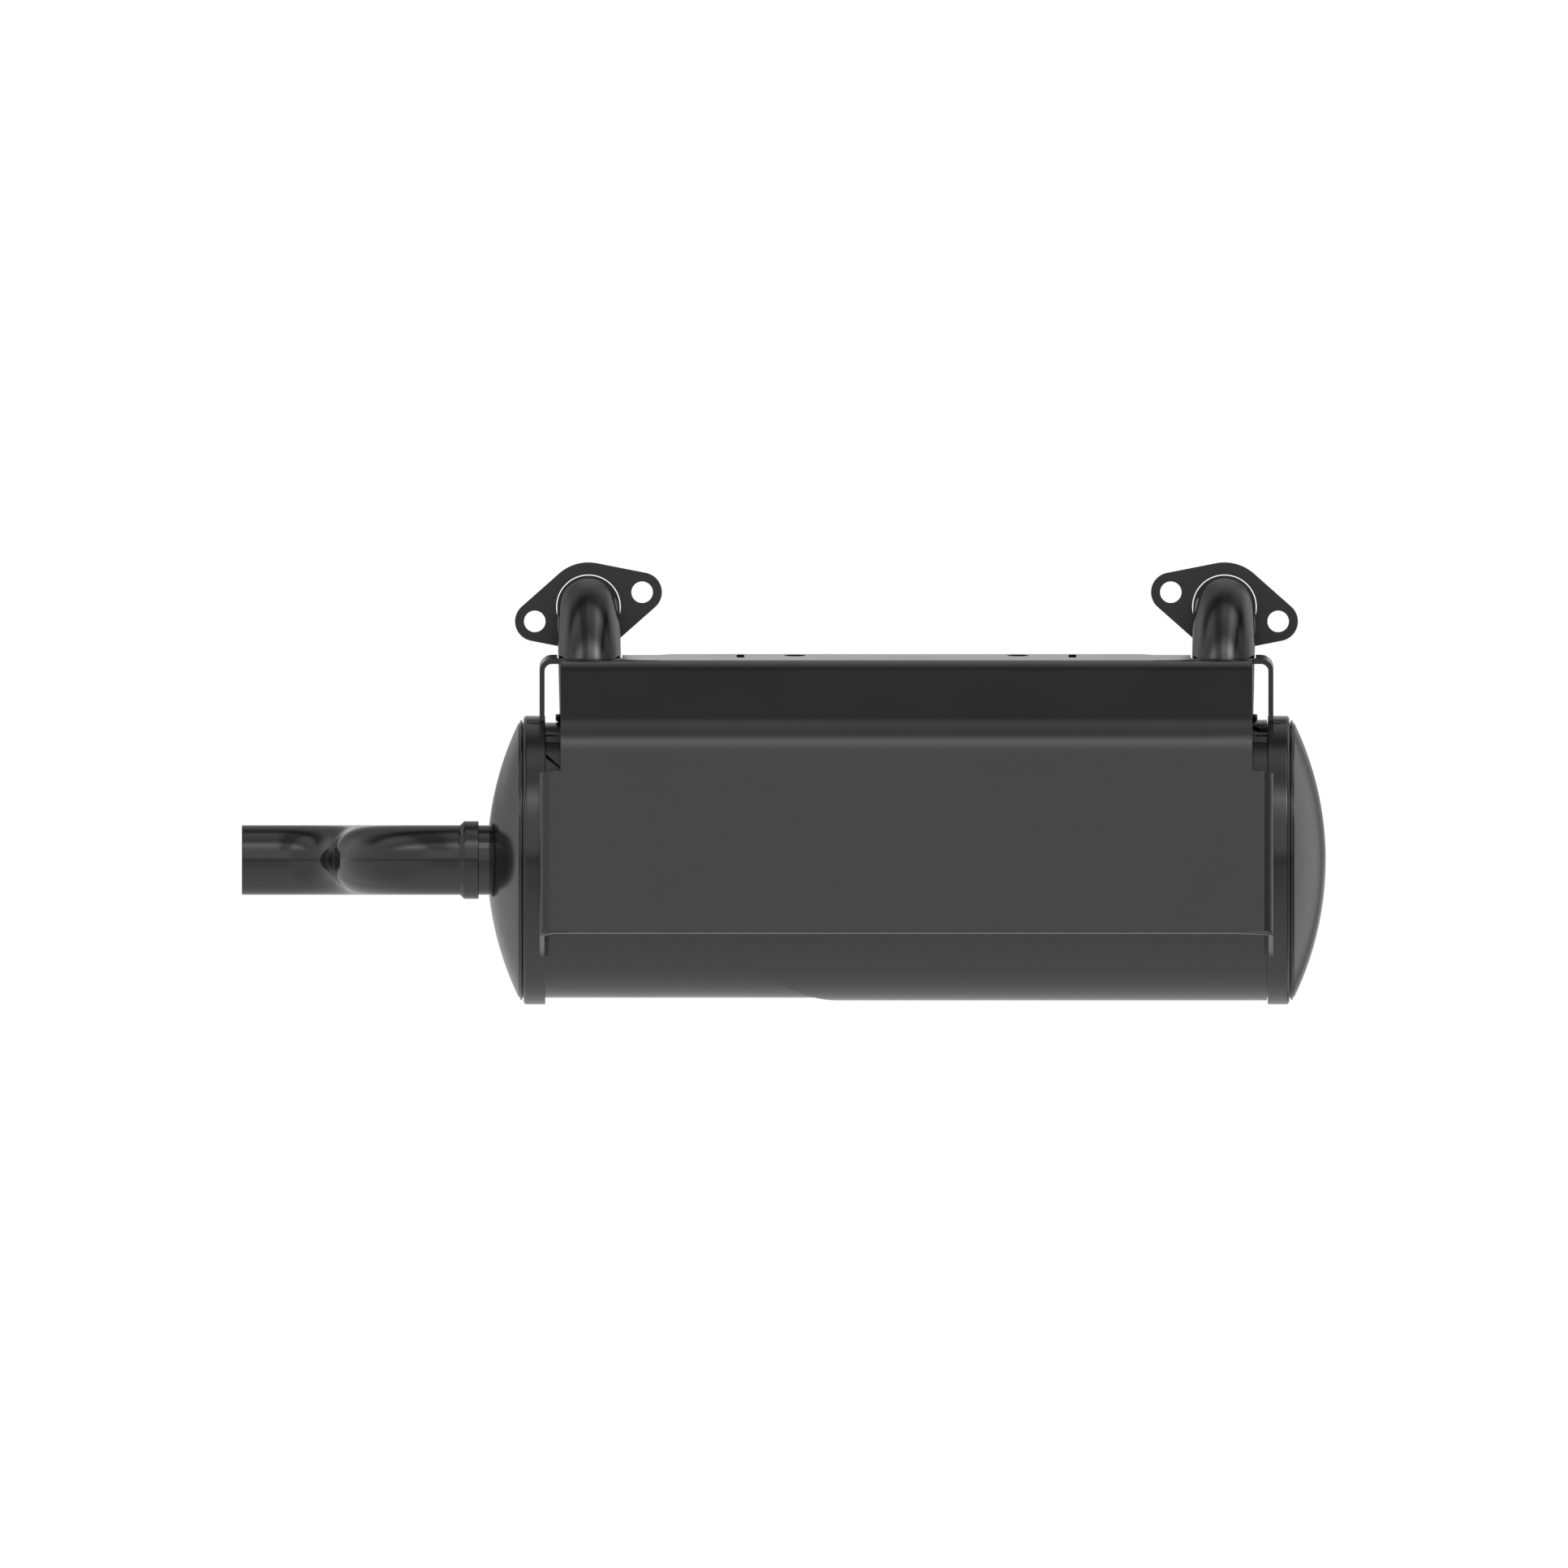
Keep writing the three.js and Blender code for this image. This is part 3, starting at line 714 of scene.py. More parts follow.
@dataclass
class CutSheet:
    """A flat cut-out with holes, given thickness and a shape by a mapping.

    Attributes:
        outline: the outer line, counter-clockwise.
        holes: the holes' lines, clockwise.
        thickness: the sheet's thickness.
        edge: rounding of the cut edges.
        mapping: turns (u, v, depth) into a point; depth 0 is the outer face.
        lines_u: grid lines across u that the mesh follows.
        lines_v: grid lines across v that the mesh follows.
    """

    outline: list[Pair]
    holes: list[list[Pair]]
    thickness: float
    edge: float
    mapping: Mapping
    lines_u: Sequence[float] = ()
    lines_v: Sequence[float] = ()

    def split(self, loop: Sequence[Vector]) -> list[Vector]:
        """Adds the points where a closed line crosses the grid lines."""
        made = []
        for i, b in enumerate(loop):
            a = loop[i - 1]
            shares = set()
            for lines, low, high in ((self.lines_u, a.x, b.x), (self.lines_v, a.y, b.y)):
                if abs(high - low) > 1e-6:
                    shares |= {(line - low) / (high - low) for line in lines}
            last = 0.0
            for share in sorted(shares):
                if last + 0.02 < share < 0.98 and (share - last) * (b - a).length > 0.2:
                    made.append(a.lerp(b, share))
                    last = share
            made.append(b)
        return made

    def surface(self) -> Surface:
        """The sheet as a closed surface."""
        loops = [self.split([Vector(p) for p in line]) for line in [self.outline, *self.holes]]
        inner = [inset(loop, self.edge) for loop in loops]
        grid = [Vector((u, v)) for u in self.lines_u for v in self.lines_v]
        grid = [p for p in grid if inside(p, inner[0]) and not any(inside(p, h) for h in inner[1:])
                and clearance(p, inner) > 0.45]
        points, edges = [], []
        for loop in inner:
            first = len(points)
            points.extend(loop)
            edges.extend((first + i, first + (i + 1) % len(loop)) for i in range(len(loop)))
        points.extend(grid)
        flat, _, triangles, *_ = delaunay_2d_cdt(points, edges, [], 0, 1e-6)
        kept = []
        for triangle in triangles:
            middle = sum((flat[i] for i in triangle), Vector((0, 0))) / len(triangle)
            if inside(middle, inner[0]) and not any(inside(middle, h) for h in inner[1:]):
                kept.append(tuple(triangle))
        made = Surface()
        for depth in (0.0, self.thickness):
            numbers = made.ring(self.mapping(p.x, p.y, depth) for p in flat)
            made.faces.extend(tuple(numbers[i] for i in triangle) for triangle in kept)
        turns = [math.radians(90 * k / 4) for k in range(5)]
        curve = [(math.sin(t), 1 - math.cos(t)) for t in turns]
        stations = [(self.edge * (1 - s), self.edge * d) for s, d in curve]
        stations += [(gap, self.thickness - depth) for gap, depth in stations[::-1]]
        for loop in loops:
            rings = [made.ring(self.mapping(p.x, p.y, depth) for p in inset(loop, gap))
                     for gap, depth in stations]
            made.loft(rings)
        return made


# ---- the shell and its ends ----


@dataclass
class ShellAssembly:
    """The rolled shell, its second wrap, the lock seam and the two crimped end caps."""

    radius: float = 62.84
    wall: float = 1.3
    half_length: float = 174.0
    rim_radius: float = 65.9
    rim_start: float = 164.9
    rim_end: float = 174.8
    dome_height: float = 14.3
    dome_base: float = 62.5
    dome_wall: float = 1.6
    gap: float = 0.3
    wrap_wall: float = 0.96
    wrap_start: float = 48.8
    wrap_pitch: float = 1.04
    wrap_last: float = -290.0
    seam_angle: float = 60.3
    seam_width: float = 6.3
    seam_rise: float = 1.15
    outlet_radius: float = 15.88
    port_margin: float = 14.9

    def build(self, inlets: "InletAssembly") -> None:
        """Builds every piece.

        Args:
            inlets: the inlet pipes, which pass through the shell.
        """
        half = self.half_length
        inner = self.radius - self.wall
        reach = self.port_margin
        beside = [side * (inlets.x + step) for side in (-1, 1) for step in (-side * reach, side * reach)]
        line = rounded([(-half, inner, 0.2), *((x, inner, 0) for x in beside), (half, inner, 0.2),
                        (half, self.radius, 0.3), *((x, self.radius, 0) for x in beside[::-1]),
                        (-half, self.radius, 0.3)])
        ports = [inlets.port(side, inlets.radius + 0.1) for side in Side]
        Workshop.piece("shell_tube", Surface().turned(line, FINE_FACETS), SHEET_PAINT, replaces=["shell"],
                       cuts=ports)
        Workshop.piece("shell_wrap", self.wrap(), SHEET_PAINT, replaces=["outer_wrap"],
                       cuts=[inlets.port(Side.RIGHT, inlets.collar_neck)])
        Workshop.piece("lock_seam", self.seam(), SHEET_PAINT)
        for side in Side:
            Workshop.piece(f"cap_{side.word}", self.end_cap(side), CAP_PAINT,
                           replaces=[f"end_cap_{side.word}"])

    def wrap(self) -> Surface:
        """The second turn of sheet, whose free edge climbs once round the shell."""
        made = Surface()
        low, high = self.radius + self.gap, self.radius + self.gap + self.wrap_wall
        end = self.rim_start - self.gap
        half_seam = math.degrees(self.seam_width / 2 / (self.radius + self.seam_rise))
        first = self.seam_angle - half_seam - 0.35
        steps = 264
        rings = []
        for i in range(steps + 1):
            angle = first + (self.wrap_last - first) * i / steps
            start = max(-end, -end + (self.wrap_start - angle) / self.wrap_pitch)
            section = rounded([(start, low, 0), (end, low, 0), (end, high, 0.12), (start, high, 0.12)],
                              support=0.2)
            turn = math.radians(angle)
            rings.append(made.ring((x, -r * math.cos(turn), r * math.sin(turn)) for x, r in section))
        return made.prism(rings)

    def seam(self) -> Surface:
        """The lock seam that runs along the shell's front top."""
        half = self.seam_width / 2
        top, foot = self.radius + self.seam_rise, self.radius - 0.4
        section = rounded([(-half, foot, 0), (half, foot, 0), (half, top - 0.9, 0.2), (-half, top, 0.3)])
        end = self.rim_start - self.gap
        made = Surface()
        turn = Matrix.Rotation(math.radians(90 - self.seam_angle), 3, "X")
        spans = (-end, -end + 0.5, end - 0.5, end)
        rings = [made.ring(turn @ Vector((x, y, z)) for y, z in section) for x in spans]
        return made.prism(rings)

    def end_cap(self, side: Side) -> Surface:
        """A domed cap with its crimped rim band.

        Args:
            side: which end; the left one has the outlet's hole.

        Returns:
            The cap's surface.
        """
        hole = self.outlet_radius + 0.12 if side is Side.LEFT else 0.0
        base_x = self.rim_end + 2.3
        sphere = (self.dome_base ** 2 + self.dome_height ** 2) / (2 * self.dome_height)
        centre = base_x + self.dome_height - sphere

        def dome(radius: float, outer: float, steps: int = 30) -> list[Pair]:
            """An arc of one of the dome's skins, out to a radius."""
            low, high = math.asin(hole / radius), math.asin(outer / radius)
            angles = (low + (high - low) * k / steps for k in range(steps + 1))
            return [(centre + radius * math.cos(a), radius * math.sin(a)) for a in angles]

        skirt = self.radius + 0.04
        stop = self.radius - self.wall - 0.6
        outside = dome(sphere, self.dome_base)
        inner = dome(sphere - self.dome_wall, stop)
        bead = rounded([
            (*outside[-1], 0), (self.rim_end + 1.7, self.dome_base + 0.2, 0.15),
            (self.rim_end + 1.45, self.dome_base + 1.4, 0.3), (self.rim_end + 0.7, self.dome_base + 1.4, 0.3),
            (self.rim_end + 0.45, self.dome_base + 0.35, 0.12), (self.rim_end, self.dome_base + 0.35, 0.1),
            (self.rim_end, self.rim_radius, 2.0),
            (self.rim_start, self.rim_radius, 0.35), (self.rim_start, skirt, 0.1),
            (self.half_length + self.gap, skirt, 0), (self.half_length + self.gap, stop, 0),
            (*inner[-1], 0)], closed=False, support=0.3)
        line = [*outside[:-1], *bead, *inner[-2::-1]]
        made = Surface().turned(line, FINE_FACETS, closed=side is Side.LEFT)
        return made.moved(Matrix.Diagonal((side.value, 1, 1)))


# ---- inlets ----


@dataclass
class InletAssembly:
    """The bent inlet pipes, the collars at their feet and the loose port flanges."""

    x: float = 144.2
    radius: float = 14.3
    wall: float = 1.65
    bend: float = 44.5
    height: float = 115.6
    lean: float = 1.25
    foot: float = 34.0
    tip: float = 57.5
    collar_radius: float = 16.2
    collar_neck: float = 15.4
    collar_foot: float = 56.0
    collar_base: float = 64.1
    collar_top: float = 67.0
    flange_bore: float = 14.74
    flange_hub: float = 20.3
    flange_lobe: float = 9.04
    flange_spacing: float = 50.8
    flange_hole: float = 4.9
    flange_thickness: float = 6.0
    flange_front: float = 47.6
    flange_tilt: float = 15.2
    flange_edge: float = 0.16
    pip_angles: Pair = (-40, -140)
    pip_half: float = 1.2
    pip_rise: float = 1.1
    pip_root: float = 0.6
    pip_length: float = 1.6
    pip_play: float = 0.4

    @property
    def bend_start(self) -> float:
        """Height at which the pipe starts to bend back."""
        return self.height - self.bend

    def leaned(self, surface: Surface, side: Side) -> Surface:
        """Leans a surface outward about the foot of its pipe."""
        foot = Matrix.Translation((side.value * self.x, 0, self.bend_start))
        lean = Matrix.Rotation(math.radians(side.value * self.lean), 4, "Y")
        return surface.moved(foot @ lean @ foot.inverted())

    def port(self, side: Side, radius: float) -> Surface:
        """A plug along a pipe's foot, to cut the hole that it passes through."""
        made = Surface()
        rings = [made.ring((side.value * self.x + x, y, z) for x, y in circle((0, 0), radius, TUBE_FACETS))
                 for z in (self.foot, self.collar_top + 4)]
        return self.leaned(made.prism(rings), side)

    def build(self) -> None:
        """Builds both inlets."""
        for side in Side:
            Workshop.piece(f"inlet_tube_{side.word}", self.pipe(side), TUBE_PAINT,
                           replaces=[f"inlet_pipe_{side.word}"])
            Workshop.piece(f"collar_{side.word}", self.collar(side), TUBE_PAINT,
                           replaces=[f"inlet_collar_{side.word}"])
            Workshop.piece(f"port_flange_{side.word}", self.flange(side), PLATE_PAINT,
                           body=f"flange_{side.word}", replaces=[f"inlet_flange_{side.word}"])

    def pipe(self, side: Side) -> Surface:
        """One inlet pipe, with the two stops that keep the flange on it."""
        start = Vector((side.value * self.x, 0, self.foot))
        route = Route(start, Vector((0, 0, 1)), Vector((-1, 0, 0)))
        route.straight(self.bend_start - self.foot, 4).bend(self.bend, 90)
        route.straight(self.tip - self.bend, 2)
        made = tube(route, [self.radius] * len(route.stops), self.wall)
        behind = self.flange_front + self.flange_thickness + self.pip_play
        low, high, half = self.radius - self.pip_root, self.radius + self.pip_rise, self.pip_half
        block = rounded([(low, -half, 0), (high, -half, 0.5), (high, half, 0.5), (low, half, 0)])
        for angle in self.pip_angles:
            turn = Matrix.Rotation(math.radians(-angle), 3, "Y")
            rings = [made.ring(turn @ Vector((r, 0, z)) + Vector((start.x, y, self.height))
                               for r, z in block) for y in (behind, behind + self.pip_length)]
            made.prism(rings)
        return self.leaned(made, side)

    def collar(self, side: Side) -> Surface:
        """The stepped collar where a pipe enters the shell."""
        foot = self.collar_foot
        line = rounded([(foot, self.radius, 0), (self.collar_top, self.radius, 0.2),
                        (self.collar_top, self.collar_radius, 0.8), (self.collar_base, self.collar_radius, 0.3),
                        (self.collar_base - 0.7, self.collar_neck, 0.4), (foot, self.collar_neck, 0)])
        upright = Matrix.Translation((side.value * self.x, 0, 0)) @ Matrix.Rotation(math.radians(-90), 4, "Y")
        return self.leaned(Surface().turned(line, TUBE_FACETS).moved(upright), side)

    def outline(self) -> list[Pair]:
        """The flange's outline: a hub and two lobes joined by tangents."""
        half = self.flange_spacing / 2
        lean = math.degrees(math.acos((self.flange_hub - self.flange_lobe) / half))
        return [*arc((half, 0), self.flange_lobe, -lean, lean, 24),
                *arc((0, 0), self.flange_hub, lean, 180 - lean, 20),
                *arc((-half, 0), self.flange_lobe, 180 - lean, 180 + lean, 24),
                *arc((0, 0), self.flange_hub, 180 + lean, 360 - lean, 20)]

    def flange(self, side: Side) -> Surface:
        """One loose port flange."""
        half = self.flange_spacing / 2
        tilt = Matrix.Rotation(math.radians(-side.value * self.flange_tilt), 2)
        centre_x = side.value * (self.x + self.bend * math.sin(math.radians(self.lean)))
        centre_z = self.bend_start + self.bend * math.cos(math.radians(self.lean))

        def stand(u: float, v: float, depth: float) -> Vector:
            """A point of the flat plate, stood up in its place."""
            x, z = tilt @ Vector((u, v))
            return Vector((centre_x + x, self.flange_front + depth, centre_z + z))

        holes = [circle((0, 0), self.flange_bore, TUBE_FACETS)[::-1]]
        holes += [circle((s * half, 0), self.flange_hole, 48)[::-1] for s in (-1, 1)]
        return CutSheet(self.outline(), holes, self.flange_thickness, self.flange_edge, stand).surface()


# ---- outlet ----


@dataclass
class OutletAssembly:
    """The outlet tube's stub and the S-bent tailpipe whose bell slips over it."""

    radius: float = 15.88
    wall: float = 1.65
    bell: float = 17.77
    mouth: float = 195.3
    shoulder: float = 201.7
    taper: float = 204.0
    lead: float = 4.5
    bend: float = 40.6
    end: float = 303.4
    lips: Pair = (0.35, 0.3)

    def build(self) -> None:
        """Builds the tailpipe; the outlet tube keeps its frame node."""
        Workshop.piece("tail_tube", self.tailpipe(), TUBE_PAINT, replaces=["tailpipe"])

    def tailpipe(self) -> Surface:
        """The S-bent tube with its swaged bell, one closed skin."""
        route = Route(Vector((-self.mouth, 0, 0)), Vector((-1, 0, 0)), Vector((0, 0, 1)))
        route.straight(3).straight(self.shoulder - self.mouth - 3.5).straight(0.5)
        route.straight(self.lead, 6).bend(self.bend, -90).bend(self.bend, 90)
        route.straight(route.point.x + self.end, 3)
        radii = []
        for point, _ in route.stops:
            share = min(1.0, max(0.0, (-point.x - self.shoulder) / (self.taper - self.shoulder)))
            radii.append(self.bell + (self.radius - self.bell) * (3 * share ** 2 - 2 * share ** 3))
        return tube(route, radii, self.wall, self.lips)


# ---- bracket shield ----


@dataclass
class BracketShield:
    """The folded sheet that carries the muffler and shields its front."""

    sheet: float = 2.3
    edge: float = 0.12
    rim: float = 65.9
    gap: float = 0.3
    top_angle: float = 85.5
    slope_angle: float = 52.2
    lower_angle: float = 14.0
    top_standoff: float = 27.2
    slope_standoff: float = 25.9
    lower_standoff: float = 20.6
    top_bend: float = 23.3
    lower_bend: float = 27.7
    side_bend: float = 5.6
    half_width: float = 167.5
    neck_half_width: float = 157.9
    back_edge: float = 8.1
    pipe_back_edge: float = 3.1
    hook_back_edge: float = 4.8
    hook_front_edge: float = -20.8
    lower_length: float = 94.3
    wide_from: float = 18.2
    flange_depth: float = 50.4
    cutout_half: float = 14.8
    cutout_x: float = 144.6
    cutout_front: float = -17.5
    hole_x: float = 50.9
    hole_radius: float = 4.95
    hole_y: float = 0.1
    slot_x: float = 75.8
    slot_width: float = 3.5
    slot_length: float = 17.0
    slot_y: float = -3.5
    wave_start: float = 106.0
    wave_length: float = 9.0

    def __post_init__(self) -> None:
        """Works out the folds' places along the unrolled sheet."""
        angles = (self.top_angle, self.slope_angle, self.lower_angle)
        self.faces = [self.rim + s for s in (self.top_standoff, self.slope_standoff, self.lower_standoff)]
        self.normals = [Vector((-math.cos(math.radians(a)), math.sin(math.radians(a)))) for a in angles]
        self.alongs = [Vector((-math.sin(math.radians(a)), -math.cos(math.radians(a)))) for a in angles]
        corners = [self.meet(0, 1), self.meet(1, 2)]
        bends = (self.top_bend, self.lower_bend)
        turns = [math.radians(angles[i] - angles[i + 1]) for i in (0, 1)]
        reach = [radius * math.tan(turn / 2) for radius, turn in zip(bends, turns)]
        height = (self.faces[0] - self.back_edge * self.normals[0].x) / self.normals[0].y
        self.start = Vector((self.back_edge, height))
        first = (corners[0] - self.start).length - reach[0]
        slope = (corners[1] - corners[0]).length - reach[0] - reach[1]
        self.runs = [(first, 0.0), (bends[0] * turns[0], bends[0]), (slope, 0.0),
                     (bends[1] * turns[1], bends[1]), (self.lower_length, 0.0)]
        self.marks = [sum(length for length, _ in self.runs[:count]) for count in (1, 2, 3, 4)]
        self.lower_offset = self.marks[3] - reach[1]
        self.length = self.lower_offset + self.lower_length

    def meet(self, i: int, j: int) -> Vector:
        """Where two of the sheet's faces would meet if the fold were sharp."""
        a, b = self.normals[i], self.normals[j]
        det = a.x * b.y - a.y * b.x
        da, db = self.faces[i], self.faces[j]
        return Vector(((da * b.y - db * a.y) / det, (a.x * db - b.x * da) / det))

    def section(self, v: float) -> tuple[Vector, Vector]:
        """The outer face's (Y, Z) point and normal at a distance along the unrolled sheet.

        Args:
            v: distance from the back edge.

        Returns:
            The point and the outward normal.
        """
        point, normal = self.start, self.normals[0]
        for length, radius in self.runs:
            step = min(v, length)
            if radius:
                centre = point - normal * radius
                normal = Matrix.Rotation(step / radius, 2) @ normal
                point = centre + normal * radius
            else:
                point = point + Vector((-normal.y, normal.x)) * step
            v -= step
            if v <= 0:
                break
        return point, normal

    def bent(self, u: float, v: float, depth: float) -> Vector:
        """A point of the unrolled sheet, folded into place.

        Args:
            u: distance across from the middle.
            v: distance along from the back edge.
            depth: distance in from the outer face.

        Returns:
            The point about the shell's axis.
        """
        point, normal = self.section(v)
        sign, past = math.copysign(1, u), abs(u) - (self.half_width - self.side_bend)
        quarter = self.side_bend * math.pi / 2
        if past <= 0:
            x, drop, out = u, 0.0, Vector((0, 1))
        elif past < quarter:
            turn = past / self.side_bend
            x = sign * (self.half_width - self.side_bend * (1 - math.sin(turn)))
            drop, out = self.side_bend * (1 - math.cos(turn)), Vector((sign * math.sin(turn), math.cos(turn)))
        else:
            x, drop, out = sign * self.half_width, self.side_bend + past - quarter, Vector((sign, 0))
        yz = point - normal * (drop + depth * out.y)
        return Vector((x - out.x * depth, yz.x, yz.y))

    def along_top(self, y: float) -> float:
        """Distance along the sheet of a place Y on its top face."""
        return (self.back_edge - y) / -self.alongs[0].x

    def reach_to_rim(self, face: int, v: float) -> float:
        """How far across, unrolled, a side leg goes before it rests on the rim band.

        Args:
            face: 0 for the hooks on the top face, 2 for the lower flanges.
            v: distance along the sheet.

        Returns:
            The distance from the middle.
        """
        point, _ = self.section(v)
        q = point.dot(self.alongs[face])
        radius = self.rim + self.gap
        depth = self.faces[face] - math.sqrt(max(radius ** 2 - q ** 2, 0))
        if face == 2:
            depth = min(depth, self.flange_depth)
        return self.half_width - self.side_bend + self.side_bend * math.pi / 2 + depth - self.side_bend

    def half_outline(self) -> list[tuple[float, float, float]]:
        """The unrolled outline's right half, back to front, as (u, v, rounding)."""
        top = self.along_top
        step = self.back_edge - self.pipe_back_edge
        shares = [k / 8 for k in range(9)]
        shoulder = [(self.wave_start + self.wave_length * share,
                     top(self.pipe_back_edge + step * (0.5 + 0.5 * math.cos(math.pi * share))), 0)
                    for share in shares]
        left, right = self.cutout_x - self.cutout_half, self.cutout_x + self.cutout_half
        plumb = self.top_standoff * math.tan(math.radians(90 - self.top_angle))
        back, front = top(self.hook_back_edge) + plumb, top(self.hook_front_edge)
        hooks = [(self.reach_to_rim(0, v), v, 0) for v in (back + (front - back) * k / 10 for k in range(11))]
        wide = self.lower_offset + self.wide_from
        flank = [(self.reach_to_rim(2, v), v, 0) for v in
                 (wide + (self.length - wide) * k / 36 for k in range(37))]
        flank[0] = (*flank[0][:2], 1.2)
        flank[-1] = (*flank[-1][:2], 1.5)
        return [*shoulder, (left, top(self.pipe_back_edge), 0.2), (left, top(self.cutout_front), 3),
                (right, top(self.cutout_front), 3), (right, top(self.hook_back_edge), 0.2), *hooks,
                (self.neck_half_width, top(self.hook_front_edge), 0.8), (self.neck_half_width, wide, 0.8),
                *flank]

    def build(self) -> None:
        """Builds the sheet."""
        half = self.half_outline()
        loop = [*half, *[(-u, v, r) for u, v, r in half[::-1]]]
        outline = [(u, v) for u, v in rounded(loop, support=0.4)]
        holes = [circle((s * self.hole_x, self.along_top(self.hole_y)), self.hole_radius, 56)
                 for s in (-1, 1)]
        round_end = self.slot_width / 2
        for s in (-1, 1):
            middle = self.along_top(self.slot_y)
            end = self.slot_length / 2 - round_end
            holes.append([*arc((s * self.slot_x, middle + end), round_end, 0, 180, 10),
                          *arc((s * self.slot_x, middle - end), round_end, 180, 360, 10)])
        outline, holes = self.oriented(outline, True), [self.oriented(h, False) for h in holes]
        sheet = CutSheet(outline, holes, self.sheet, self.edge, self.bent, self.cross_lines(),
                         self.fold_lines())
        Workshop.piece("bracket_sheet", sheet.surface(), SHEET_PAINT, replaces=["bracket_shield"])

    @staticmethod
    def oriented(loop: list[Pair], forward: bool) -> list[Pair]:
        """A closed line turned counter-clockwise, or clockwise if forward is false."""
        area = sum(a[0] * b[1] - b[0] * a[1] for a, b in zip(loop, loop[1:] + loop[:1]))
        return loop if (area > 0) == forward else loop[::-1]

    def cross_lines(self) -> list[float]:
        """Grid lines across the sheet: even ones, and close ones in the side bends."""
        start, quarter = self.half_width - self.side_bend, self.side_bend * math.pi / 2
        close = [start - 0.5] + [start + quarter * k / 8 for k in range(9)] + [start + quarter + 0.5]
        legs = [start + quarter + 8 + 9 * k for k in range(5)]
        even = [-152 + 16 * k for k in range(20)]
        return sorted([*even, *close, *legs, *(-x for x in close), *(-x for x in legs)])

    def fold_lines(self) -> list[float]:
        """Grid lines along the sheet: close ones in the two folds, and even ones between."""
        a, b, c, d = self.marks
        lines = [a - 0.5, b + 0.5, c - 0.5, d + 0.5]
        lines += [a + (b - a) * k / 10 for k in range(11)]
        lines += [c + (d - c) * k / 12 for k in range(13)]
        for low, high in ((0, a), (b, c), (d, self.length)):
            count = max(1, round((high - low) / 12))
            lines += [low + (high - low) * k / count for k in range(1, count)]
        wide = self.lower_offset + self.wide_from
        lines += [edge + step for edge in (0.0, wide, self.length) for step in (-7, -3, -1, 1, 3, 7)]
        return sorted(lines)


# ---- weld beads ----


class WeldBeads:
    """Rippled beads that hold the bracket to the rim bands, on the side away from the shield's face."""

    @staticmethod
    def tree() -> bpy.types.NodeTree:
        """The node tree that lays overlapping drops of weld along a curve."""
        made = bpy.data.node_groups.new("weld_ripples", "GeometryNodeTree")
        face = made.interface
        face.new_socket("Geometry", in_out="INPUT", socket_type="NodeSocketGeometry")
        inputs = (("Spacing", "Float", 0.0009), ("Bead Radius", "Float", 0.0013), ("Seed", "Int", 4))
        for name, kind, value in inputs:
            face.new_socket(name, in_out="INPUT", socket_type=f"NodeSocket{kind}").default_value = value
        face.new_socket("Finish", in_out="INPUT", socket_type="NodeSocketMaterial")
        face.new_socket("Geometry", in_out="OUTPUT", socket_type="NodeSocketGeometry")
        add, join = made.nodes.new, made.links.new
        entry, leave = add("NodeGroupInput"), add("NodeGroupOutput")
        points, drop = add("GeometryNodeCurveToPoints"), add("GeometryNodeMeshIcoSphere")
        points.mode = "LENGTH"
        drop.inputs["Subdivisions"].default_value = 3
        spread, scale = add("FunctionNodeRandomValue"), add("GeometryNodeInstanceOnPoints")
        spread.data_type = "FLOAT"
        spread.inputs[2].default_value, spread.inputs[3].default_value = 0.88, 1.12
        realize, paint = add("GeometryNodeRealizeInstances"), add("GeometryNodeSetMaterial")
        join(entry.outputs["Seed"], spread.inputs["Seed"])
        join(entry.outputs["Geometry"], points.inputs["Curve"])
        join(entry.outputs["Spacing"], points.inputs["Length"])
        join(entry.outputs["Bead Radius"], drop.inputs["Radius"])
        join(points.outputs["Points"], scale.inputs["Points"])
        join(drop.outputs["Mesh"], scale.inputs["Instance"])
        join(spread.outputs[1], scale.inputs["Scale"])
        join(scale.outputs["Instances"], realize.inputs["Geometry"])
        join(realize.outputs["Geometry"], paint.inputs["Geometry"])
        join(entry.outputs["Finish"], paint.inputs["Material"])
        join(paint.outputs["Geometry"], leave.inputs["Geometry"])
        return made

    @staticmethod
    def runs(bracket: BracketShield) -> list[list[Vector]]:
        """The beads' middle lines, behind each lower flange.

        Args:
            bracket: the sheet that they hold.

        Returns:
            One list of points for each bead.
        """
        made = []
        radius = bracket.rim + 0.5
        inner = bracket.half_width - bracket.sheet
        for side in Side:
            for start, end in ((220.0, 206.0), (188.0, 174.0)):
                angles = (math.radians(start + (end - start) * k / 8) for k in range(9))
                made.append([Vector((side.value * (inner - 0.4), radius * math.cos(a), radius * math.sin(a)))
                             for a in angles])
        return made

    def build(self, bracket: BracketShield) -> None:
        """Builds the beads as one piece.

        Args:
            bracket: the sheet that they hold.
        """
        curve = bpy.data.curves.new("weld_runs", "CURVE")
        curve.dimensions = "3D"
        for run in self.runs(bracket):
            spline = curve.splines.new("POLY")
            spline.points.add(len(run) - 1)
            for point, place in zip(spline.points, run):
                point.co = (*Workshop.place(place), 1)
        path = Workshop.add("weld_runs", curve)
        step = path.modifiers.new("ripples", "NODES")
        step.node_group = self.tree()
        sockets = {s.name: s.identifier for s in step.node_group.interface.items_tree if s.in_out == "INPUT"}
        step[sockets["Finish"]] = WELD_PAINT.material()
        view = bpy.context.evaluated_depsgraph_get()
        mesh = bpy.data.meshes.new_from_object(path.evaluated_get(view))
        path.modifiers.clear()
        bpy.data.objects.remove(path)
        mesh.name = "bracket_welds"
        mesh.shade_smooth()
        Workshop.dress(Workshop.add("bracket_welds", mesh), WELD_PAINT)


# ---- inner pieces, studio and camera ----


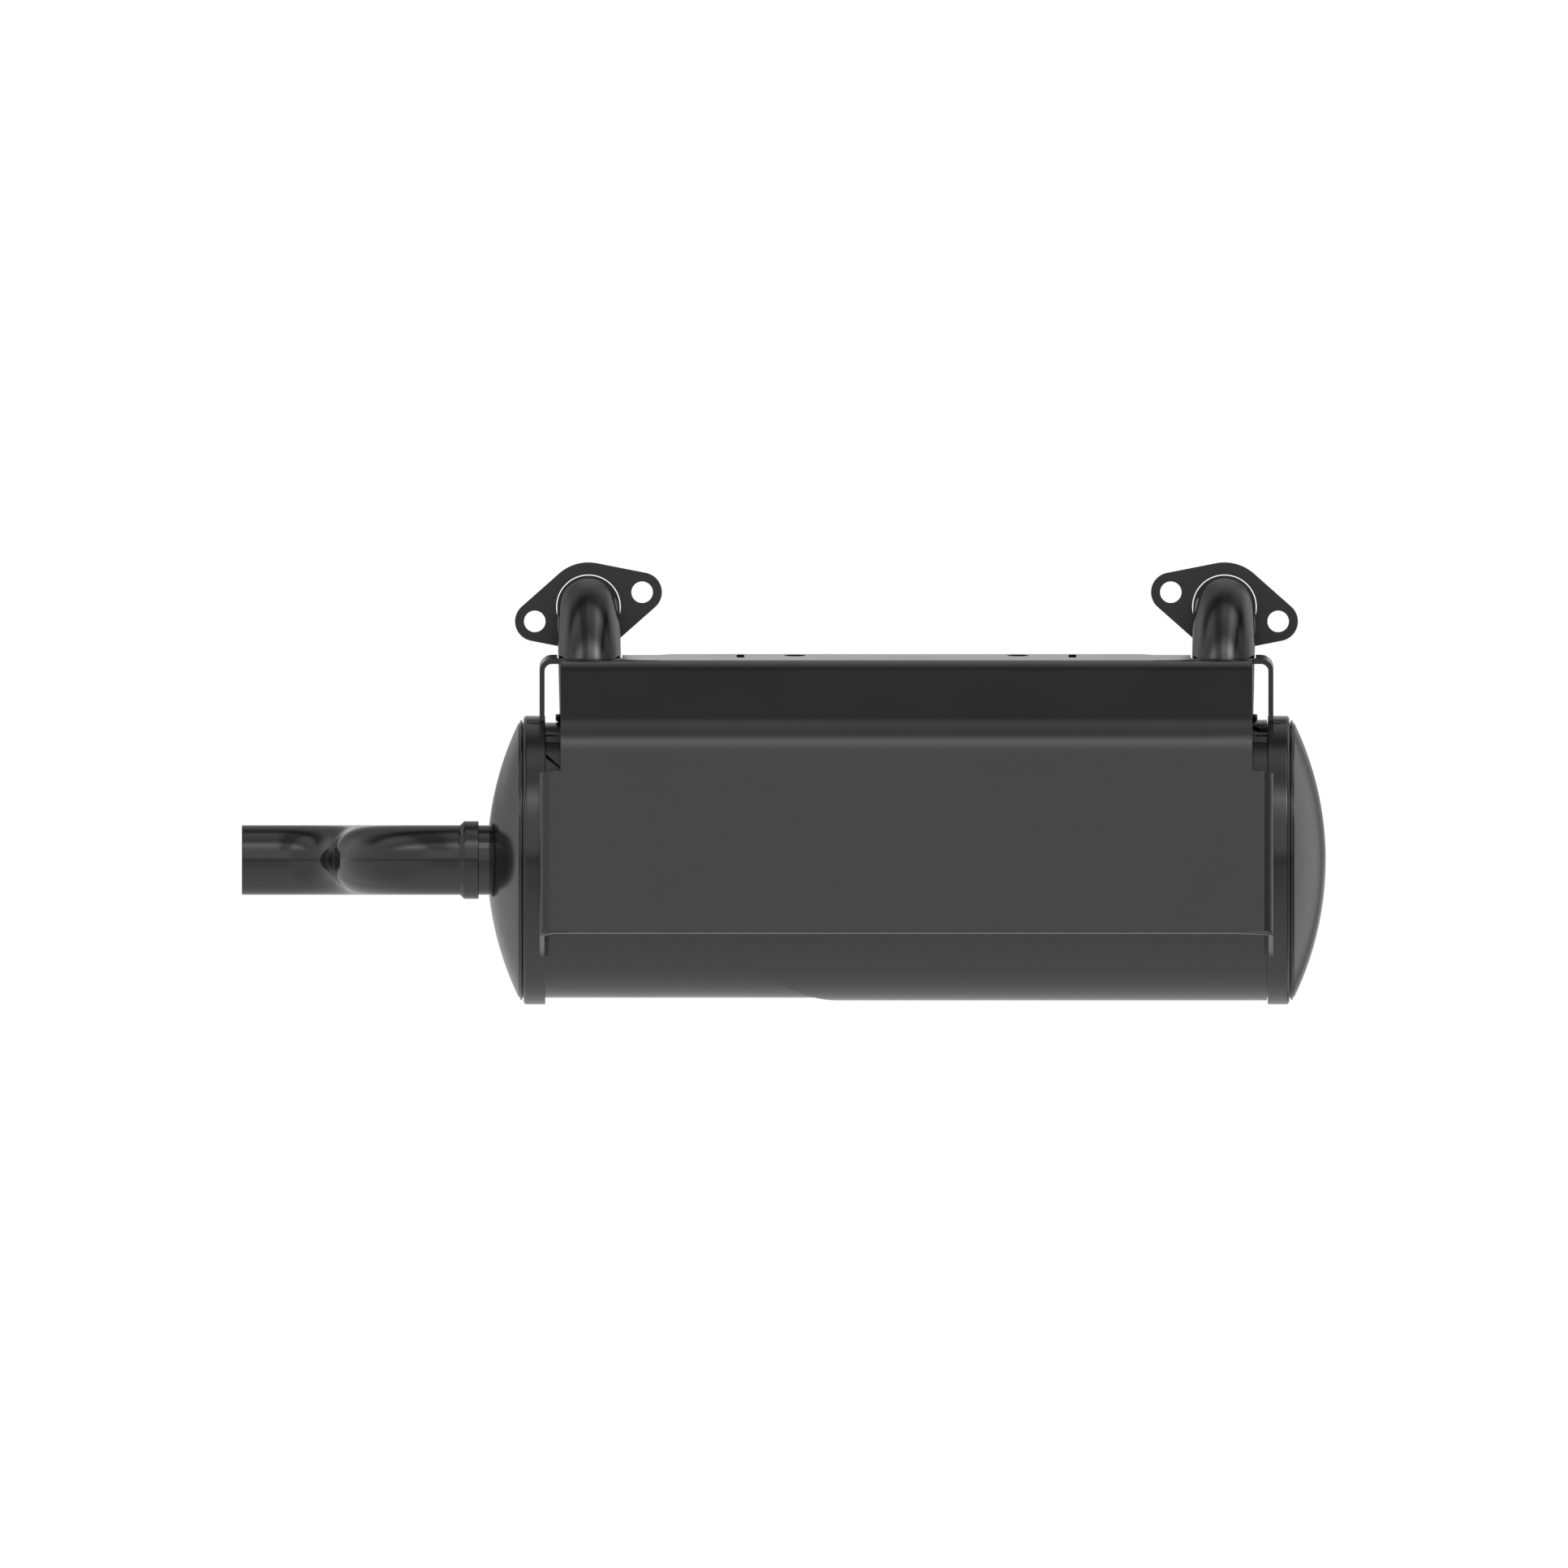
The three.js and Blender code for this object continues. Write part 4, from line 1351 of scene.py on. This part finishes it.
def dress_inner_nodes() -> None:
    """Gives the frame's own inner nodes their finishes."""
    finishes = {
        "baffle_left": SHEET_STEEL, "baffle_centre": SHEET_STEEL, "baffle_right": SHEET_STEEL,
        "transfer_tube_front": SHEET_STEEL, "transfer_tube_back": SHEET_STEEL,
        "outlet_tube": TUBE_PAINT, "spark_screen": SCREEN_STEEL, "screen_ring": SCREEN_STEEL,
    }
    for name, finish in finishes.items():
        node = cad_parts[name]
        node.data.materials.clear()
        node.data.materials.append(finish.material())
        LOG.info("%s keeps its node", name)


@dataclass
class Studio:
    """A pale floor, a wrap of soft light whose brightness depends on height, and the camera.

    Attributes:
        bands: (angle, brightness) of the light wrap; 0 is towards the viewer, 90 overhead, 180 behind,
            and negative angles are below.
        sides: (heading, brightness) of the light from the sides; 0 is towards the viewer, 90 right.
        strips: (sideways place, share) of the strip lights overhead.
        horizon: (height, share) of the darker line at eye level.
        overhead, near, behind, aside, right_back, left_back, level: where each part of the surroundings
            fades in, as a span of a direction's height, depth or sideways place.
        left_shade: how much darker it is behind on the left.
        view_width: width of the camera's view in metres.
        view_x: the view's middle.
        view_above_axis: height of the view's middle above the shell's axis.
    """

    bands: tuple[Pair, ...] = (
        (-180, 0.55), (-172, 0.58), (-156, 0.62), (-146, 0.68), (-134, 0.75), (-120, 0.86), (-103, 1.0),
        (-91, 1.18), (-76, 1.28), (-60, 1.30), (-40, 1.16), (-26, 1.06), (-18, 0.86), (-8, 0.92), (-2, 0.62),
        (0, 0.55), (2, 0.68), (6, 1.08), (10, 1.34), (20, 1.40), (32, 1.42), (38, 1.75), (44, 2.25),
        (50, 2.95), (56, 2.05), (61.6, 1.12), (66, 0.78), (76, 0.80), (84, 0.96), (92, 0.95), (99, 0.72),
        (102.5, 0.42), (105, 0.25), (108, 0.16), (114, 0.18), (119, 0.27), (124, 0.36), (131, 0.45),
        (140, 0.44), (150, 0.36), (160, 0.34), (167, 0.66), (173, 0.72), (177, 0.40), (180, 0.38))
    sides: tuple[Pair, ...] = (
        (-180, 0.40), (-165, 0.46), (-150, 0.62), (-130, 0.95), (-110, 0.98), (-81, 1.00), (-45, 1.05),
        (0, 1.20), (20, 0.90), (30, 0.50), (67, 0.48), (85, 0.55), (109, 0.80), (129, 1.02), (138, 0.92),
        (147, 0.76), (155, 0.50), (160, 0.22), (172, 0.16), (180, 0.30))
    strips: tuple[Pair, ...] = (
        (-1, 0.8), (-0.65, 1.15), (-0.5, 1.05), (-0.43, 0.8), (-0.36, 0.42), (-0.16, 0.42), (-0.06, 0.8),
        (0, 1.0), (0.16, 1.05), (0.27, 1.6), (0.37, 2.5), (0.46, 2.0), (0.54, 1.3), (0.60, 0.6),
        (0.65, 0.15), (0.69, 0.15), (0.72, 0.6), (1, 0.7))
    horizon: tuple[Pair, ...] = ((-1, 1), (-0.09, 1), (-0.03, 0.72), (0, 0.58), (0.03, 0.78), (0.09, 1), (1, 1))
    overhead: Pair = (0.4, 0.7)
    near: Pair = (0.25, 0.55)
    behind: Pair = (0.5, 0.8)
    aside: Pair = (0.3, 0.6)
    right_back: Pair = (0.05, 0.35)
    left_back: Pair = (0.05, 0.3)
    level: Pair = (-0.03, 0.05)
    left_shade: float = 0.35
    view_width: float = 0.7158
    view_x: float = -0.0559
    view_above_axis: float = 0.0347

    def build(self) -> None:
        """Makes the floor, the light and the camera."""
        self.floor()
        self.light_wrap()
        self.key_light()
        self.camera()
        bpy.context.scene.view_settings.view_transform = "Standard"

    def floor(self) -> None:
        """A plain pale floor below the hanging muffler."""
        mesh = bpy.data.meshes.new("floor")
        height = CAD_BOX[0].z - 0.06
        corners = [(-4, -4, height), (4, -4, height), (4, 4, height), (-4, 4, height)]
        mesh.from_pydata(corners, [], [(0, 1, 2, 3)])
        floor = Workshop.add("floor", mesh)
        paint = bpy.data.materials.new("pale_floor")
        paint.use_nodes = True
        desk = NodeDesk(paint.node_tree)
        shader = paint.node_tree.nodes["Principled BSDF"]
        shader.inputs["Base Color"].default_value = (0.86, 0.86, 0.86, 1)
        shader.inputs["Roughness"].default_value = 0.8
        pick = desk.node("MixShader")
        desk.feed(desk.node("NewGeometry").outputs["Backfacing"], pick.inputs[0])
        desk.feed(shader.outputs[0], pick.inputs[1])
        desk.feed(desk.node("BsdfTransparent").outputs[0], pick.inputs[2])
        desk.feed(pick.outputs[0], paint.node_tree.nodes["Material Output"].inputs["Surface"])
        mesh.materials.append(paint)
        floor.visible_glossy = False

    def light_wrap(self) -> None:
        """A world of soft light bands, seen as plain white by the camera."""
        world = bpy.data.worlds.new("light_wrap")
        bpy.context.scene.world = world
        world.use_nodes = True
        world.node_tree.nodes.clear()
        desk = NodeDesk(world.node_tree)
        parts = desk.node("SeparateXYZ")
        desk.feed(desk.node("TexCoord").outputs["Generated"], parts.inputs[0])
        x, y, z = parts.outputs
        front = desk.math("MULTIPLY", y, -1.0)
        degrees = 180 / math.pi
        height = desk.math("MULTIPLY", desk.math("ARCTAN2", z, front), degrees)
        heading = desk.math("MULTIPLY", desk.math("ARCTAN2", x, front), degrees)
        overhead = desk.ranged(z, *self.overhead)
        near = desk.math("SUBTRACT", 1.0, desk.ranged(y, *self.near))
        behind = desk.ranged(y, *self.behind)
        stripped = desk.math("MULTIPLY", overhead, near)
        wrap = desk.math("MULTIPLY", desk.curve(height, self.bands),
                         desk.blend(stripped, 1.0, desk.curve(x, self.strips)))
        behind_right = desk.math("MULTIPLY", desk.ranged(x, *self.right_back), behind)
        aside = desk.math("MAXIMUM", desk.ranged(desk.math("ABSOLUTE", x), *self.aside), behind_right)
        sideways = desk.math("MULTIPLY", aside, desk.math("SUBTRACT", 1.0, overhead))
        round_level = desk.math("MULTIPLY", desk.curve(heading, self.sides),
                                desk.blend(near, 1.0, desk.curve(z, self.horizon)))
        left = desk.ranged(desk.math("MULTIPLY", x, -1.0), *self.left_back)
        shaded = desk.math("MULTIPLY", desk.math("MULTIPLY", left, behind), desk.ranged(z, *self.level))
        level = desk.math("MULTIPLY", desk.blend(sideways, wrap, round_level),
                          desk.math("SUBTRACT", 1.0, desk.math("MULTIPLY", shaded, self.left_shade)))
        soft, white = desk.node("Background"), desk.node("Background")
        soft.inputs["Color"].default_value = white.inputs["Color"].default_value = (1, 1, 1, 1)
        desk.feed(level, soft.inputs["Strength"])
        pick = desk.node("MixShader")
        desk.feed(desk.node("LightPath").outputs["Is Camera Ray"], pick.inputs[0])
        desk.feed(soft.outputs[0], pick.inputs[1])
        desk.feed(white.outputs[0], pick.inputs[2])
        desk.feed(pick.outputs[0], desk.node("OutputWorld").inputs["Surface"])

    def key_light(self) -> None:
        """A large soft light overhead, kept out of reflections."""
        light = bpy.data.lights.new("overhead_soft", "AREA")
        light.shape, light.size, light.size_y, light.energy = "RECTANGLE", 1.6, 1.2, 4.0
        lamp = Workshop.add("overhead_soft", light)
        lamp.location = (0.1, -0.3, 1.5)
        lamp.rotation_euler = (math.radians(-12), 0, 0)
        lamp.visible_glossy = False

    def camera(self) -> None:
        """A level orthographic camera in front of the shield."""
        lens = bpy.data.cameras.new("front_camera")
        lens.type, lens.ortho_scale = "ORTHO", self.view_width
        lens.clip_start, lens.clip_end = 0.01, 20
        camera = Workshop.add("front_camera", lens)
        camera.location = (self.view_x, -1.5, Workshop.axis.z + self.view_above_axis)
        camera.rotation_euler = (math.radians(90), 0, 0)
        bpy.context.scene.camera = camera


def main() -> None:
    """Builds the muffler's looks in order."""
    logging.basicConfig(level=logging.INFO, format="%(name)s: %(message)s")
    inlets, bracket = InletAssembly(), BracketShield()
    ShellAssembly().build(inlets)
    inlets.build()
    OutletAssembly().build()
    bracket.build()
    WeldBeads().build(bracket)
    dress_inner_nodes()
    Studio().build()


if __name__ == "__main__":
    main()
